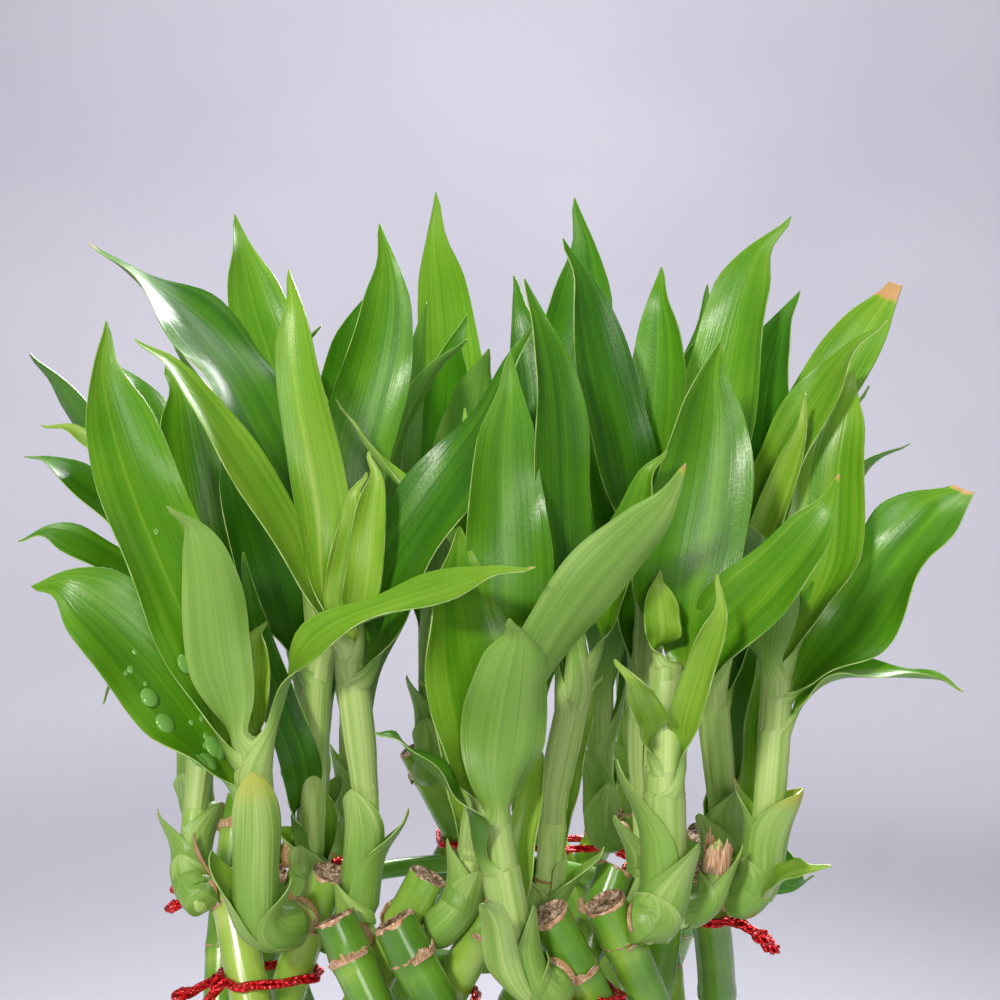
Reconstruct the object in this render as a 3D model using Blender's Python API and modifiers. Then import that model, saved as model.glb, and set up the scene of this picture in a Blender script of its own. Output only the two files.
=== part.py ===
"""Lucky bamboo: two crossing layers of leaning dracaena stalks woven into a ring round a green hoop and
bound with foil wire, with a leafy shoot near the cut top of each stalk, standing in a glazed bowl of pebbles.

The front faces -Y and +Z is up. The origin is the centre of the bowl's underside. The design below is in
millimetres; MM turns it to Blender's metres where a mesh or a curve is made. Angles round the ring are
counted from the front, positive towards +X.
"""

from collections import namedtuple
from math import cos, degrees, pi, radians, sin, sqrt, tan
from random import Random

import bmesh
import bpy
from mathutils import Matrix, Vector
from mathutils.bvhtree import BVHTree

MM = 0.001
GAP = 0.3

# The woven ring
LEAN = 28.0
RING = {"outer": 70.4, "inner": 58.6}
LEAN_SIGN = {"outer": 1, "inner": -1}
STALK_FOOT = 9.4
STALK_STEP = 20.0
CHORD_SAG = 0.15
CURVE_SIDES = 2

# The hoop that the stalks are bound against
HOOP_HEIGHT = 190.0
HOOP_TUBE = 3.0
HOOP_SEGMENTS = 28
HOOP_SIDES = 8

# The foil wire that binds the crossings
WIRE = 0.8
TIE_POINTS = 12
TIE_MOUTH = 0.6         # of a step, where the belt of a tie starts
TIE_OPEN = 0.4          # of a step, the gap left between its two ends
TIE_STANDOFF = 1.45     # from a stalk's side to the middle of the wire
TAIL = 7.0
TAIL_DROPS = (5.0, 2.0)

# The bowl and the pebbles in it
BOWL_FOOT = 74.0
BOWL_RADIUS = 89.0
BOWL_HEIGHT = 62.0
BOWL_WALL = 5.0
BOWL_FLOOR = 6.0
BOWL_SEGMENTS = 40
BOWL_CORNER = 7.0       # how far the wall steps out from the foot
BOWL_LIP = 1.2          # the rounding of the rim
CORNER_TOP = 8.0        # the height where the corner meets the wall
PEBBLE_TOP = 46.0
PEBBLE_INSET = 0.5      # from the bowl's wall
HOLE_CLEARANCE = 0.45   # round each stalk's foot
HOLE_DEPTH = 12.0       # how far a hole runs on below the foot

# Shoots and leaves
STEM_SIDES = 7
STEM_RINGS = 10
STEM_SQUARE = 0.6       # in stem radii, how far a stem first runs square to its stalk
STEM_TAPER = 0.2
LEAF_RINGS = 6
LEAF_THICKNESS = 1.3
LEAF_CHANNEL = 0.22
LEAF_CLEARANCE = 0.5
LEAF_SPREAD = 0.08      # how far a leaf first leans out, as a share of its length
LEAF_TIP_PULL = 0.33    # how long a leaf runs straight towards its tip
GOLDEN_TURN = 137.5
OWN_START = 0.35
UP = Vector((0, 0, 1))

# A stalk leans along the ring; its angle and height are those of its cut top.
Stalk = namedtuple("Stalk", "layer angle top radius")
STALKS = {
    "outer_01": Stalk("outer", -65, 207, 5.5),
    "outer_02": Stalk("outer", -27, 205, 5.4),
    "outer_03": Stalk("outer", -14, 206, 5.6),
    "outer_04": Stalk("outer", 16.5, 207.5, 5.5),
    "outer_05": Stalk("outer", 29, 208.5, 5.5),
    "outer_06": Stalk("outer", 62, 209, 5.4),
    "outer_07": Stalk("outer", 101, 208, 5.2),
    "outer_08": Stalk("outer", 140, 206, 5.4),
    "outer_09": Stalk("outer", 178, 209, 5.0),
    "outer_10": Stalk("outer", 217, 207, 5.3),
    "outer_11": Stalk("outer", 256, 218, 5.2),
    "inner_01": Stalk("inner", -66, 206, 4.8),
    "inner_02": Stalk("inner", -36, 212, 5.1),
    "inner_03": Stalk("inner", -9, 214, 5.1),
    "inner_04": Stalk("inner", 8, 208, 5.0),
    "inner_05": Stalk("inner", 41, 212.5, 5.0),
    "inner_06": Stalk("inner", 75, 209, 4.8),
    "inner_07": Stalk("inner", 122, 210, 4.9),
    "inner_08": Stalk("inner", 160, 207, 5.0),
    "inner_09": Stalk("inner", 200, 226, 4.9),
    "inner_10": Stalk("inner", 238, 208, 4.9),
    "inner_11": Stalk("inner", 274, 211, 4.8),
}

# Each tie holds two crossing stalks at a height.
TIES = [
    ("outer_01", "inner_02", 183),
    ("outer_02", "inner_03", 178),
    ("outer_03", "inner_04", 184.5),
    ("outer_04", "inner_05", 185.5),
    ("outer_05", "inner_06", 162),
    ("outer_06", "inner_06", 195),
    ("outer_07", "inner_07", 195),
    ("outer_08", "inner_08", 195),
    ("outer_09", "inner_09", 195),
    ("outer_10", "inner_10", 195),
    ("outer_11", "inner_11", 195),
]

# A leaf leaves its stem at a share of the stem's length and runs to its tip. Its upper side turns to face
# `upper` along the blade. `lift` is how far it first follows the stem, `curl` how much its tip droops.
Leaf = namedtuple("Leaf", "start tip width upper lift curl")
# A shoot leaves its stalk at height `foot` and follows the points of its stem.
Shoot = namedtuple("Shoot", "stalk foot radius stem leaves")
# The shoots from the front of the ring, leaf by leaf; those in front are placed first.
FRONT_SHOOTS = [
    Shoot("inner_02", 202, 4.6,
          [(-46, -57, 201), (-51, -62, 206), (-51, -62, 228), (-53, -61, 250)], [
        Leaf(0.96, (-66, -75, 307), 15, (-0.2, 0.9, 0.3), 0.20, 0.0),
        Leaf(0.92, (-93, -55, 352), 23, (0.5, -0.8, 0.3), 0.10, -0.25),
        Leaf(0.84, (-106, -65, 290), 26, (0.1, -0.7, 0.7), 0.15, 0.45),
        Leaf(0.90, (15, -92, 295), 12, (-0.1, -0.6, 0.8), 0.45, 0.15),
        Leaf(0.98, (-52, -58, 277), 9, (0.0, -1.0, 0.1), 0.20, 0.0),
    ]),
    Shoot("outer_04", 196, 4.4,
          [(19, -75, 191), (14, -77, 196), (11, -77, 208), (8, -76, 224), (6, -75, 240)], [
        Leaf(0.90, (14, -88, 281), 20, (0.0, 0.9, 0.3), 0.25, 0.1),
        Leaf(0.96, (52, -85, 315), 17, (-0.3, 0.7, 0.6), 0.45, -0.1),
        Leaf(0.94, (-1, -70, 301), 24, (0.3, -0.9, 0.3), 0.10, 0.0),
        Leaf(0.78, (-17, -80, 259), 11, (0.0, -0.4, 1.0), 0.20, 0.3),
        Leaf(0.60, (20, -72, 247), 7, (-0.4, -0.8, 0.2), 0.25, 0.0),
        Leaf(0.25, (3, -82, 220), 8, (0.1, 0.9, 0.2), 0.30, 0.0),
    ]),
    Shoot("outer_05", 202, 4.9,
          [(45, -64, 204), (49, -62, 212), (49, -60, 240), (50, -58, 268)], [
        Leaf(0.95, (62, -55, 348), 25, (0.0, -1.0, 0.1), 0.10, 0.0),
        Leaf(0.90, (90, -75, 312), 17, (-0.3, -0.8, 0.5), 0.15, -0.15),
        Leaf(0.98, (47, -62, 289), 9, (0.0, -1.0, 0.0), 0.30, 0.0),
        Leaf(0.78, (38, -66, 269), 8, (0.3, -0.9, 0.1), 0.20, 0.0),
        Leaf(0.74, (65, -68, 272), 8, (-0.4, -0.8, 0.3), 0.20, 0.1),
    ]),
    Shoot("outer_06", 203, 4.4,
          [(73, -36, 203), (77, -37, 210), (79, -36, 228), (81, -34, 248), (82, -34, 262)], [
        Leaf(0.90, (132, -30, 311), 26, (-0.4, -0.8, 0.5), 0.10, -0.25),
        Leaf(0.80, (128, -45, 261), 9, (0.0, -0.3, 1.0), 0.40, 0.35),
        Leaf(0.96, (60, -50, 313), 20, (0.3, 0.8, 0.3), 0.30, -0.1),
        Leaf(0.98, (106, -25, 343), 22, (-0.5, -0.8, 0.2), 0.30, -0.1),
        Leaf(0.30, (85, -42, 217), 7, (-0.5, -0.5, 0.7), 0.20, 0.2),
    ]),
    Shoot("outer_02", 199, 3.8,
          [(-27, -54, 200), (-27, -52, 208), (-25, -53, 228), (-27, -55, 250), (-30, -57, 276)], [
        Leaf(0.90, (13, -62, 353), 22, (-0.4, -0.8, 0.4), 0.10, 0.1),
        Leaf(0.96, (-76, -70, 348), 13, (0.6, -0.6, 0.5), 0.20, 0.2),
        Leaf(0.98, (-43, -50, 367), 13, (0.1, -1.0, 0.2), 0.15, 0.0),
        Leaf(0.94, (-20, -62, 318), 9, (0.0, -1.0, 0.1), 0.25, 0.0),
        Leaf(0.92, (-29, -60, 314), 9, (0.0, -1.0, 0.1), 0.25, 0.0),
    ]),
    Shoot("inner_03", 204, 3.8,
          [(-3, -61, 205), (0, -60, 211), (2, -59, 224), (5, -58, 238), (7, -57, 254)], [
        Leaf(0.96, (12, -82, 342), 20, (0.1, -1.0, 0.1), 0.10, 0.0),
        Leaf(0.90, (-32, -45, 335), 9, (0.3, -0.3, 0.9), 0.60, 0.1),
        Leaf(0.98, (-2, -58, 330), 8, (-0.2, -1.0, 0.1), 0.30, 0.0),
        Leaf(0.55, (-9, -56, 262), 8, (0.3, -0.8, 0.3), 0.30, 0.2),
    ]),
    Shoot("inner_04", 203, 4.0,
          [(15, -52, 202), (21, -50, 210), (22, -50, 230), (26, -50, 250), (30, -51, 268)], [
        Leaf(0.92, (15, -70, 360), 15, (0.3, -0.9, 0.3), 0.35, -0.1),
        Leaf(0.97, (45, -66, 320), 10, (-0.2, -0.9, 0.2), 0.20, 0.1),
        Leaf(0.85, (2, -48, 330), 12, (0.3, -0.8, 0.3), 0.40, 0.2),
        Leaf(0.50, (33, -54, 262), 7, (-0.4, -0.8, 0.3), 0.30, 0.1),
        Leaf(0.88, (10, -33, 367), 15, (0.1, -0.9, 0.2), 0.30, 0.0),
    ]),
    Shoot("inner_05", 204, 3.7,
          [(43, -42, 204), (47, -39, 211), (46, -37, 235), (47, -36, 262), (48, -36, 285)], [
        Leaf(0.95, (28, -45, 375), 17, (0.3, -0.9, 0.1), 0.35, 0.0),
        Leaf(0.97, (50, -30, 370), 17, (-0.4, -0.9, 0.1), 0.20, 0.0),
        Leaf(0.90, (85, -12, 388), 22, (-0.5, -0.8, 0.2), 0.25, -0.2),
        Leaf(0.85, (66, -10, 360), 14, (-0.4, -0.8, 0.3), 0.30, 0.2),
        Leaf(0.50, (58, -44, 262), 8, (-0.4, -0.8, 0.2), 0.25, 0.1),
        Leaf(0.80, (36, -28, 342), 16, (0.0, -1.0, 0.1), 0.30, 0.0),
    ]),
    Shoot("inner_06", 203, 4.2,
          [(66, -13, 203), (71, -11, 208), (70, -11, 228), (68, -12, 252), (67, -14, 272)], [
        Leaf(0.92, (119, -10, 369), 18, (-0.5, -0.8, 0.2), 0.40, 0.0),
        Leaf(0.96, (109, -22, 346), 16, (-0.5, -0.8, 0.2), 0.30, 0.2),
        Leaf(0.98, (89, -27, 356), 20, (-0.3, -0.9, 0.3), 0.40, 0.2),
        Leaf(0.85, (90, -36, 333), 9, (-0.3, -0.9, 0.2), 0.20, 0.0),
        Leaf(0.60, (92, 2, 318), 13, (-0.6, -0.3, 0.7), 0.20, 0.3),
        Leaf(0.35, (82, -22, 246), 7, (-0.4, -0.8, 0.2), 0.20, 0.0),
        Leaf(0.80, (84, -8, 332), 15, (-0.4, -0.8, 0.2), 0.20, 0.0),
    ]),
    Shoot("inner_01", 200, 3.9,
          [(-46, -18, 201), (-43, -23, 208), (-41, -33, 228), (-40, -38, 250), (-38, -39, 272)], [
        Leaf(0.90, (-61, -45, 328), 20, (0.3, -0.9, 0.2), 0.15, 0.0),
        Leaf(0.97, (-104, -20, 380), 23, (0.3, -0.7, 0.6), 0.55, 0.35),
        Leaf(0.94, (-22, -27, 382), 19, (0.2, -0.9, 0.1), 0.40, -0.1),
        Leaf(0.98, (-66, -4, 390), 19, (0.2, -0.9, 0.1), 0.40, -0.1),
        Leaf(0.45, (-44, -46, 273), 10, (0.0, -1.0, 0.0), 0.30, 0.0),
    ]),
    Shoot("outer_01", 203, 3.8,
          [(-70, -37, 203), (-74, -30, 209), (-74, -18, 232), (-71, -15, 256), (-70, -16, 272)], [
        Leaf(0.94, (-128, -2, 322), 15, (0.3, -0.6, 0.7), 0.25, 0.3),
        Leaf(0.85, (-125, -12, 300), 14, (0.1, -0.5, 0.9), 0.20, 0.45),
        Leaf(0.98, (-118, -10, 332), 8, (0.3, -0.6, 0.6), 0.40, 0.4),
        Leaf(0.97, (-81, -8, 345), 18, (0.3, -0.9, 0.2), 0.20, 0.0),
        Leaf(0.80, (-104, -10, 253), 9, (0.0, -0.4, 0.9), 0.25, 0.5),
    ]),
]

# The shoots behind stand on the outer or inner side of their stalk and fan their leaves by a fixed rule;
# the taller leaves that rise over the crown are given one by one.
BackShoot = namedtuple("BackShoot", "stalk side height turn count leaves")
BACK_SHOOTS = [
    BackShoot("outer_11", 1, 62, 40, 5, []),
    BackShoot("inner_11", -1, 66, 150, 3, [Leaf(0.96, (-27, -5, 372), 23, (0.2, -0.9, 0.1), 0.30, 0.0)]),
    BackShoot("outer_10", 1, 70, 100, 4, []),
    BackShoot("inner_10", -1, 58, 20, 4, [Leaf(0.90, (-33, 8, 356), 19, (0.1, -0.9, 0.2), 0.30, 0.0)]),
    BackShoot("inner_09", -1, 64, 75, 4, [Leaf(0.90, (-4, 12, 362), 17, (0.1, -0.9, 0.2), 0.30, 0.0)]),
    BackShoot("outer_09", 1, 60, 10, 4, [Leaf(0.96, (-22, 50, 405), 21, (0.2, -0.9, 0.1), 0.50, 0.0)]),
    BackShoot("inner_08", -1, 62, 130, 3, [Leaf(0.96, (34, 20, 398), 25, (0.0, -0.9, 0.2), 0.30, 0.0)]),
    BackShoot("outer_08", 1, 66, 60, 5, [Leaf(0.90, (80, 24, 376), 18, (-0.1, -0.9, 0.2), 0.30, 0.0)]),
    BackShoot("inner_07", -1, 56, 95, 4, [Leaf(0.90, (72, 18, 372), 16, (-0.2, -0.9, 0.2), 0.30, 0.0)]),
    BackShoot("outer_07", 1, 60, 30, 4, [Leaf(0.12, (101, 20, 189), 15, (-0.2, -1.0, 0.2), 0.10, 0.1)]),
]
BACK_FOOT_DROP = 5.5
BACK_STEM_OFFSET = 12.0
BACK_STEM_RADIUS = 3.8
BACK_REACH = (30, 56)
BACK_RISE = (62, 104)
BACK_TOP = 352.0
BACK_WIDTH = (13, 20)

# What a leaf tries, in turn, until it is clear of what stands already: a swing about its stem in degrees,
# a rise of its tip, and a push of its tip towards the back.
SETTLE_MOVES = [(0, 0, 0)] + [
    (swing, rise, push)
    for reach in (1, 2, 3, 4, 5)
    for swing, rise, push in (
        (0, 0, 5 * reach), (0, 0, -5 * reach),
        (6 * reach, 0, 0), (-6 * reach, 0, 0),
        (0, 6 * reach, 0), (0, -6 * reach, 0),
        (6 * reach, 5 * reach, 4 * reach), (-6 * reach, 5 * reach, -4 * reach),
    )
]

COLOURS = {
    "stalk_green": ((0.30, 0.48, 0.10), 0.35),
    "leaf_green": ((0.09, 0.30, 0.03), 0.35),
    "hoop_green": ((0.05, 0.28, 0.10), 0.30),
    "red_foil": ((0.60, 0.02, 0.03), 0.25),
    "white_glaze": ((0.85, 0.84, 0.80), 0.15),
    "pebble_stone": ((0.62, 0.58, 0.52), 0.60),
}


# ---------------------------------------------------------------- the ring of stalks

def ring_point(radius, angle, height):
    """A point at an angle from the front, as a vector in millimetres."""
    return Vector((radius * sin(radians(angle)), -radius * cos(radians(angle)), height))


def stalk_point(stalk, height):
    """The axis of a leaning stalk at a height."""
    ring = RING[stalk.layer]
    turn = degrees(tan(radians(LEAN)) / ring) * (stalk.top - height)
    return ring_point(ring, stalk.angle + LEAN_SIGN[stalk.layer] * turn, height)


def stalk_axis(stalk, bottom=STALK_FOOT, step=STALK_STEP):
    """The points of a stalk's axis from its foot to its cut top."""
    steps = max(2, round((stalk.top - bottom) / step))
    return [stalk_point(stalk, bottom + (stalk.top - bottom) * i / steps) for i in range(steps + 1)]


# ---------------------------------------------------------------- how shoots and leaves grow

def bezier(points, t):
    """A point on a cubic Bezier curve."""
    s = 1 - t
    a, b, c, d = points
    return a * s ** 3 + b * (3 * s * s * t) + c * (3 * s * t * t) + d * t ** 3


def smooth(t):
    """An eased step from 0 to 1."""
    t = min(max(t, 0.0), 1.0)
    return t * t * (3 - 2 * t)


def through(points, count):
    """Evenly spread points on a Catmull-Rom curve through the given points."""
    ends = [points[0] * 2 - points[1]] + points + [points[-1] * 2 - points[-2]]
    spans = len(points) - 1
    result = []
    for i in range(count):
        place = i * spans / (count - 1)
        k = min(int(place), spans - 1)
        t = place - k
        a, b, c, d = ends[k:k + 4]
        result.append(0.5 * (2 * b + (c - a) * t + (2 * a - 5 * b + 4 * c - d) * t * t
                             + (3 * b - a - 3 * c + d) * t ** 3))
    return result


def stem_path(stalk, foot, radius, points):
    """The stem's centre line, from just off the side of its stalk."""
    axis = stalk_point(stalk, foot)
    lean = (stalk_point(stalk, foot + 1) - stalk_point(stalk, foot - 1)).normalized()
    out = Vector(points[0]) - axis
    out = (out - lean * out.dot(lean)).normalized()
    start = axis + out * (stalk.radius + GAP + CHORD_SAG)
    square = start + out * (radius * STEM_SQUARE)
    return [start] + through([square] + [Vector(p) for p in points], STEM_RINGS - 1)


def stem_radius(radius, share):
    """A stem's radius at a share of its length."""
    return radius * (1.0 - STEM_TAPER * share)


def back_shoot(row, seed):
    """The stem and the leaves of a shoot that follows the rule."""
    stalk = STALKS[row.stalk]
    foot = stalk.top - BACK_FOOT_DROP
    axis = stalk_point(stalk, foot)
    outward = Vector((axis.x, axis.y, 0)).normalized() * row.side
    base = axis + outward * BACK_STEM_OFFSET
    stem = [base + outward * (2 * min(i, 1)) + UP * (1 + (row.height - 1) * share)
            for i, share in enumerate((0.0, 0.12, 0.55, 1.0))]
    rule = Random(seed)
    leaves = list(row.leaves)
    for k in range(row.count):
        heading = radians(row.turn + GOLDEN_TURN * k)
        out = Vector((sin(heading), -cos(heading), 0))
        tip = stem[-1] + out * rule.uniform(*BACK_REACH) + UP * rule.uniform(*BACK_RISE)
        tip.z = min(tip.z, BACK_TOP)
        leaves.append(Leaf(0.75 + 0.05 * k, tuple(tip), rule.uniform(*BACK_WIDTH),
                           tuple(UP * 0.7 - out), 0.3, 0.25))
    return Shoot(row.stalk, foot, BACK_STEM_RADIUS, [tuple(p) for p in stem], leaves)


def leaf_curve(path, leaf, move):
    """The four Bezier points of a leaf's midrib, after a settling move of its tip."""
    swing, rise, push = move
    place = leaf.start * (len(path) - 1)
    k = min(int(place), len(path) - 2)
    base = path[k].lerp(path[k + 1], place - k)
    along = (path[k + 1] - path[k]).normalized()
    chord = Matrix.Rotation(radians(swing), 3, "Z") @ (Vector(leaf.tip) - base) + Vector((0, push, rise))
    length = chord.length
    out = Vector((chord.x, chord.y, 0)).normalized()
    end = (chord / length - UP * leaf.curl).normalized()
    tip = base + chord
    return [base, base + (along * leaf.lift + out * LEAF_SPREAD) * length, tip - end * (length * LEAF_TIP_PULL), tip]


def blade_half_width(width, t):
    """Half the width of a leaf along its length: a narrow neck, a broad middle and a long point."""
    neck = 0.30 + 0.70 * smooth((t - 0.10) / 0.38)
    point = (1 - (2 * t - 1) ** 2) ** 0.85 if t > 0.5 else 1.0
    return 0.5 * width * neck * point


def blade_stations(curve, leaf, first, count):
    """Stations along a leaf: a point, its crosswise and upper directions and its half width."""
    out = Vector((curve[3].x - curve[0].x, curve[3].y - curve[0].y, 0)).normalized()
    stations = []
    for i in range(count + 1):
        t = first + (1 - first) * i / count
        along = (bezier(curve, min(t + 0.01, 1.0)) - bezier(curve, max(t - 0.01, 0.0))).normalized()
        facing = (-out).lerp(Vector(leaf.upper).normalized(), smooth(t / 0.45))
        upper = (facing - along * facing.dot(along)).normalized()
        stations.append((bezier(curve, t), along.cross(upper), upper, blade_half_width(leaf.width, t)))
    return stations


def add_blade(mesh, curve, leaf, first=0.0, extra=0.0):
    """A closed blade in a bmesh: a shallow channel in section, drawn to a point at its tip."""
    thick = LEAF_THICKNESS / 2 + extra
    stations = blade_stations(curve, leaf, first, LEAF_RINGS)
    rings = []
    for here, across, upper, half in stations[:-1]:
        side = across * (half + extra)
        lift = upper * (half * LEAF_CHANNEL)
        rings.append([mesh.verts.new(p) for p in (
            here - side + lift, here - upper * thick, here + side + lift, here + upper * thick)])
    tip = mesh.verts.new(stations[-1][0])
    faces = [mesh.faces.new(rings[0])]
    for low, high in zip(rings, rings[1:]):
        faces += [mesh.faces.new((low[i], low[i - 3], high[i - 3], high[i])) for i in range(4)]
    faces += [mesh.faces.new((rings[-1][i], rings[-1][i - 3], tip)) for i in range(4)]
    bmesh.ops.recalc_face_normals(mesh, faces=faces)


def add_tube(mesh, path, radii, sides):
    """A closed tube through a path in a bmesh, with a radius at each point."""
    rings = []
    across = (path[1] - path[0]).orthogonal()
    for i, here in enumerate(path):
        along = (path[min(i + 1, len(path) - 1)] - path[max(i - 1, 0)]).normalized()
        across = (across - along * across.dot(along)).normalized()
        other = along.cross(across)
        rings.append([mesh.verts.new(here + (across * cos(2 * pi * k / sides) + other * sin(2 * pi * k / sides))
                                     * radii[i]) for k in range(sides)])
    faces = [mesh.faces.new(rings[0]), mesh.faces.new(rings[-1])]
    for low, high in zip(rings, rings[1:]):
        faces += [mesh.faces.new((low[k - 1], low[k], high[k], high[k - 1])) for k in range(sides)]
    bmesh.ops.recalc_face_normals(mesh, faces=faces)


def tree_of(adder, *arguments):
    """A search tree of one test shape, and the shape's lowest and highest corners."""
    mesh = bmesh.new()
    adder(mesh, *arguments)
    corners = [vert.co for vert in mesh.verts]
    low = Vector([min(c[i] for c in corners) for i in range(3)])
    high = Vector([max(c[i] for c in corners) for i in range(3)])
    tree = BVHTree.FromBMesh(mesh)
    mesh.free()
    return tree, low, high


def touches(shape, others):
    """Whether a test shape crosses any of the others."""
    tree, low, high = shape
    for other, other_low, other_high in others:
        apart = any(low[i] > other_high[i] or other_low[i] > high[i] for i in range(3))
        if not apart and tree.overlap(other):
            return True
    return False


def grow(shoots, standing):
    """Settles every leaf in turn: a list of (shoot, stem path, leaf curves), and nothing that crosses."""
    paths = [stem_path(STALKS[s.stalk], s.foot, s.radius, s.stem) for s in shoots]
    stems = [tree_of(add_tube, path, [stem_radius(s.radius, 0) + LEAF_CLEARANCE] * len(path), STEM_SIDES)
             for s, path in zip(shoots, paths)]
    placed = list(standing)
    grown = []
    for i, (shoot, path) in enumerate(zip(shoots, paths)):
        others = placed + stems[:i] + stems[i + 1:]
        own = []
        leaves = []
        for leaf in shoot.leaves:
            for move in SETTLE_MOVES:
                curve = leaf_curve(path, leaf, move)
                whole = tree_of(add_blade, curve, leaf, 0.0, LEAF_CLEARANCE)
                free = tree_of(add_blade, curve, leaf, OWN_START, LEAF_CLEARANCE)
                if not touches(whole, others) and not touches(free, own + [stems[i]]):
                    leaves.append((leaf, curve))
                    own.append(free)
                    placed.append(whole)
                    break
        grown.append((shoot, path, leaves))
    return grown


# ---------------------------------------------------------------- objects

def material(name):
    colour, roughness = COLOURS[name]
    made = bpy.data.materials.get(name) or bpy.data.materials.new(name)
    made.use_nodes = True
    shader = made.node_tree.nodes["Principled BSDF"]
    shader.inputs["Base Color"].default_value = (*colour, 1.0)
    shader.inputs["Roughness"].default_value = roughness
    shader.inputs["Metallic"].default_value = 0.9 if name == "red_foil" else 0.0
    return made


def add_object(name, data, colour, collection):
    """A named object with its material, in one of the two collections."""
    made = bpy.data.objects.new(name, data)
    if colour:
        data.materials.append(material(colour))
    collection.objects.link(made)
    return made


def object_from_bmesh(name, mesh, colour, collection):
    """An object in metres from a bmesh in millimetres."""
    bmesh.ops.scale(mesh, vec=(MM, MM, MM), verts=mesh.verts)
    data = bpy.data.meshes.new(name)
    mesh.to_mesh(data)
    mesh.free()
    return add_object(name, data, colour, collection)


def tube_curve(name, path, radius, cyclic=False, resolution=CURVE_SIDES):
    """A round tube as a bevelled curve with filled caps, from a path in millimetres."""
    curve = bpy.data.curves.new(name, "CURVE")
    curve.dimensions = "3D"
    curve.bevel_depth = radius * MM
    curve.bevel_resolution = resolution
    curve.use_fill_caps = True
    spline = curve.splines.new("POLY")
    spline.points.add(len(path) - 1)
    for point, place in zip(spline.points, path):
        point.co = (*(place * MM), 1.0)
    spline.use_cyclic_u = cyclic
    return curve


def mesh_from_curve(name, curve):
    """A welded mesh of a curve, for a piece that cuts another."""
    holder = bpy.data.objects.new(name + "_curve", curve)
    bpy.context.scene.collection.objects.link(holder)
    evaluated = holder.evaluated_get(bpy.context.evaluated_depsgraph_get())
    data = bpy.data.meshes.new_from_object(evaluated)
    welded = bmesh.new()
    welded.from_mesh(data)
    bmesh.ops.remove_doubles(welded, verts=welded.verts, dist=0.00001)
    bmesh.ops.recalc_face_normals(welded, faces=welded.faces)
    welded.to_mesh(data)
    welded.free()
    bpy.data.objects.remove(holder)
    return data


def make_stalks(parts):
    for name, stalk in STALKS.items():
        add_object("stalk_" + name, tube_curve(name, stalk_axis(stalk), stalk.radius), "stalk_green", parts)


def make_hoop(parts):
    """The hoop lies inside the ring, just off the inner stalks."""
    thickest = max(s.radius for s in STALKS.values() if s.layer == "inner")
    radius = RING["inner"] - thickest - GAP - HOOP_TUBE
    bpy.ops.mesh.primitive_torus_add(
        major_radius=radius * MM, minor_radius=HOOP_TUBE * MM, major_segments=HOOP_SEGMENTS,
        minor_segments=HOOP_SIDES, location=(0, 0, HOOP_HEIGHT * MM))
    hoop = bpy.context.object
    hoop.name = "hoop"
    hoop.data.materials.append(material("hoop_green"))
    for holder in list(hoop.users_collection):
        holder.objects.unlink(hoop)
    parts.objects.link(hoop)


def tie_path(first, second, height):
    """A belt round two stalks at a height, ending in two short tails that point outwards."""
    sections = [(stalk_point(s, height), s) for s in (STALKS[first], STALKS[second])]
    middle = (sections[0][0] + sections[1][0]) / 2
    outward = Vector((middle.x, middle.y, 0)).normalized()
    sideways = Vector((-outward.y, outward.x, 0))
    stretch = 1 / cos(radians(LEAN))
    belt = []
    for i in range(TIE_POINTS):
        turn = pi / TIE_POINTS * TIE_MOUTH
        angle = turn + 2 * pi * i / TIE_POINTS * (TIE_POINTS - TIE_MOUTH) / (TIE_POINTS - TIE_OPEN)
        pull = (cos(angle), sin(angle))
        reach = []
        for centre, stalk in sections:
            across = stalk.radius * stretch
            size = sqrt((stalk.radius * pull[0]) ** 2 + (across * pull[1]) ** 2)
            deep = stalk.radius ** 2 * pull[0] / size + TIE_STANDOFF * pull[0]
            wide = across ** 2 * pull[1] / size + TIE_STANDOFF * pull[1]
            corner = centre - middle + outward * deep + sideways * wide
            reach.append((corner.dot(outward) * pull[0] + corner.dot(sideways) * pull[1], corner))
        belt.append(middle + max(reach, key=lambda r: r[0])[1])
    tail = outward * TAIL
    return [belt[0] + tail - UP * TAIL_DROPS[0]] + belt + [belt[-1] + tail - UP * TAIL_DROPS[1]]


def make_ties(parts):
    for number, (first, second, height) in enumerate(TIES, 1):
        name = f"wire_tie_{number:02d}"
        wire = tube_curve(name, tie_path(first, second, height), WIRE, resolution=1)
        add_object(name, wire, "red_foil", parts)


def turned(name, profile, colour, collection, segments=BOWL_SEGMENTS):
    """A solid turned about the Z axis from a profile of (radius, height) in millimetres."""
    mesh = bmesh.new()
    verts = [mesh.verts.new((r * MM, 0, z * MM)) for r, z in profile]
    for low, high in zip(verts, verts[1:]):
        mesh.edges.new((low, high))
    data = bpy.data.meshes.new(name)
    mesh.to_mesh(data)
    mesh.free()
    made = add_object(name, data, colour, collection)
    screw = made.modifiers.new("Turn", "SCREW")
    screw.steps = screw.render_steps = segments
    screw.use_merge_vertices = True
    screw.merge_threshold = 0.00001
    return made


def bowl_inner_radius(height):
    """The bowl's inside wall: a straight flare above a rounded corner."""
    low = BOWL_FOOT + BOWL_CORNER
    flare = low + (BOWL_RADIUS - low) * height / BOWL_HEIGHT
    return flare - BOWL_WALL


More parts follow.
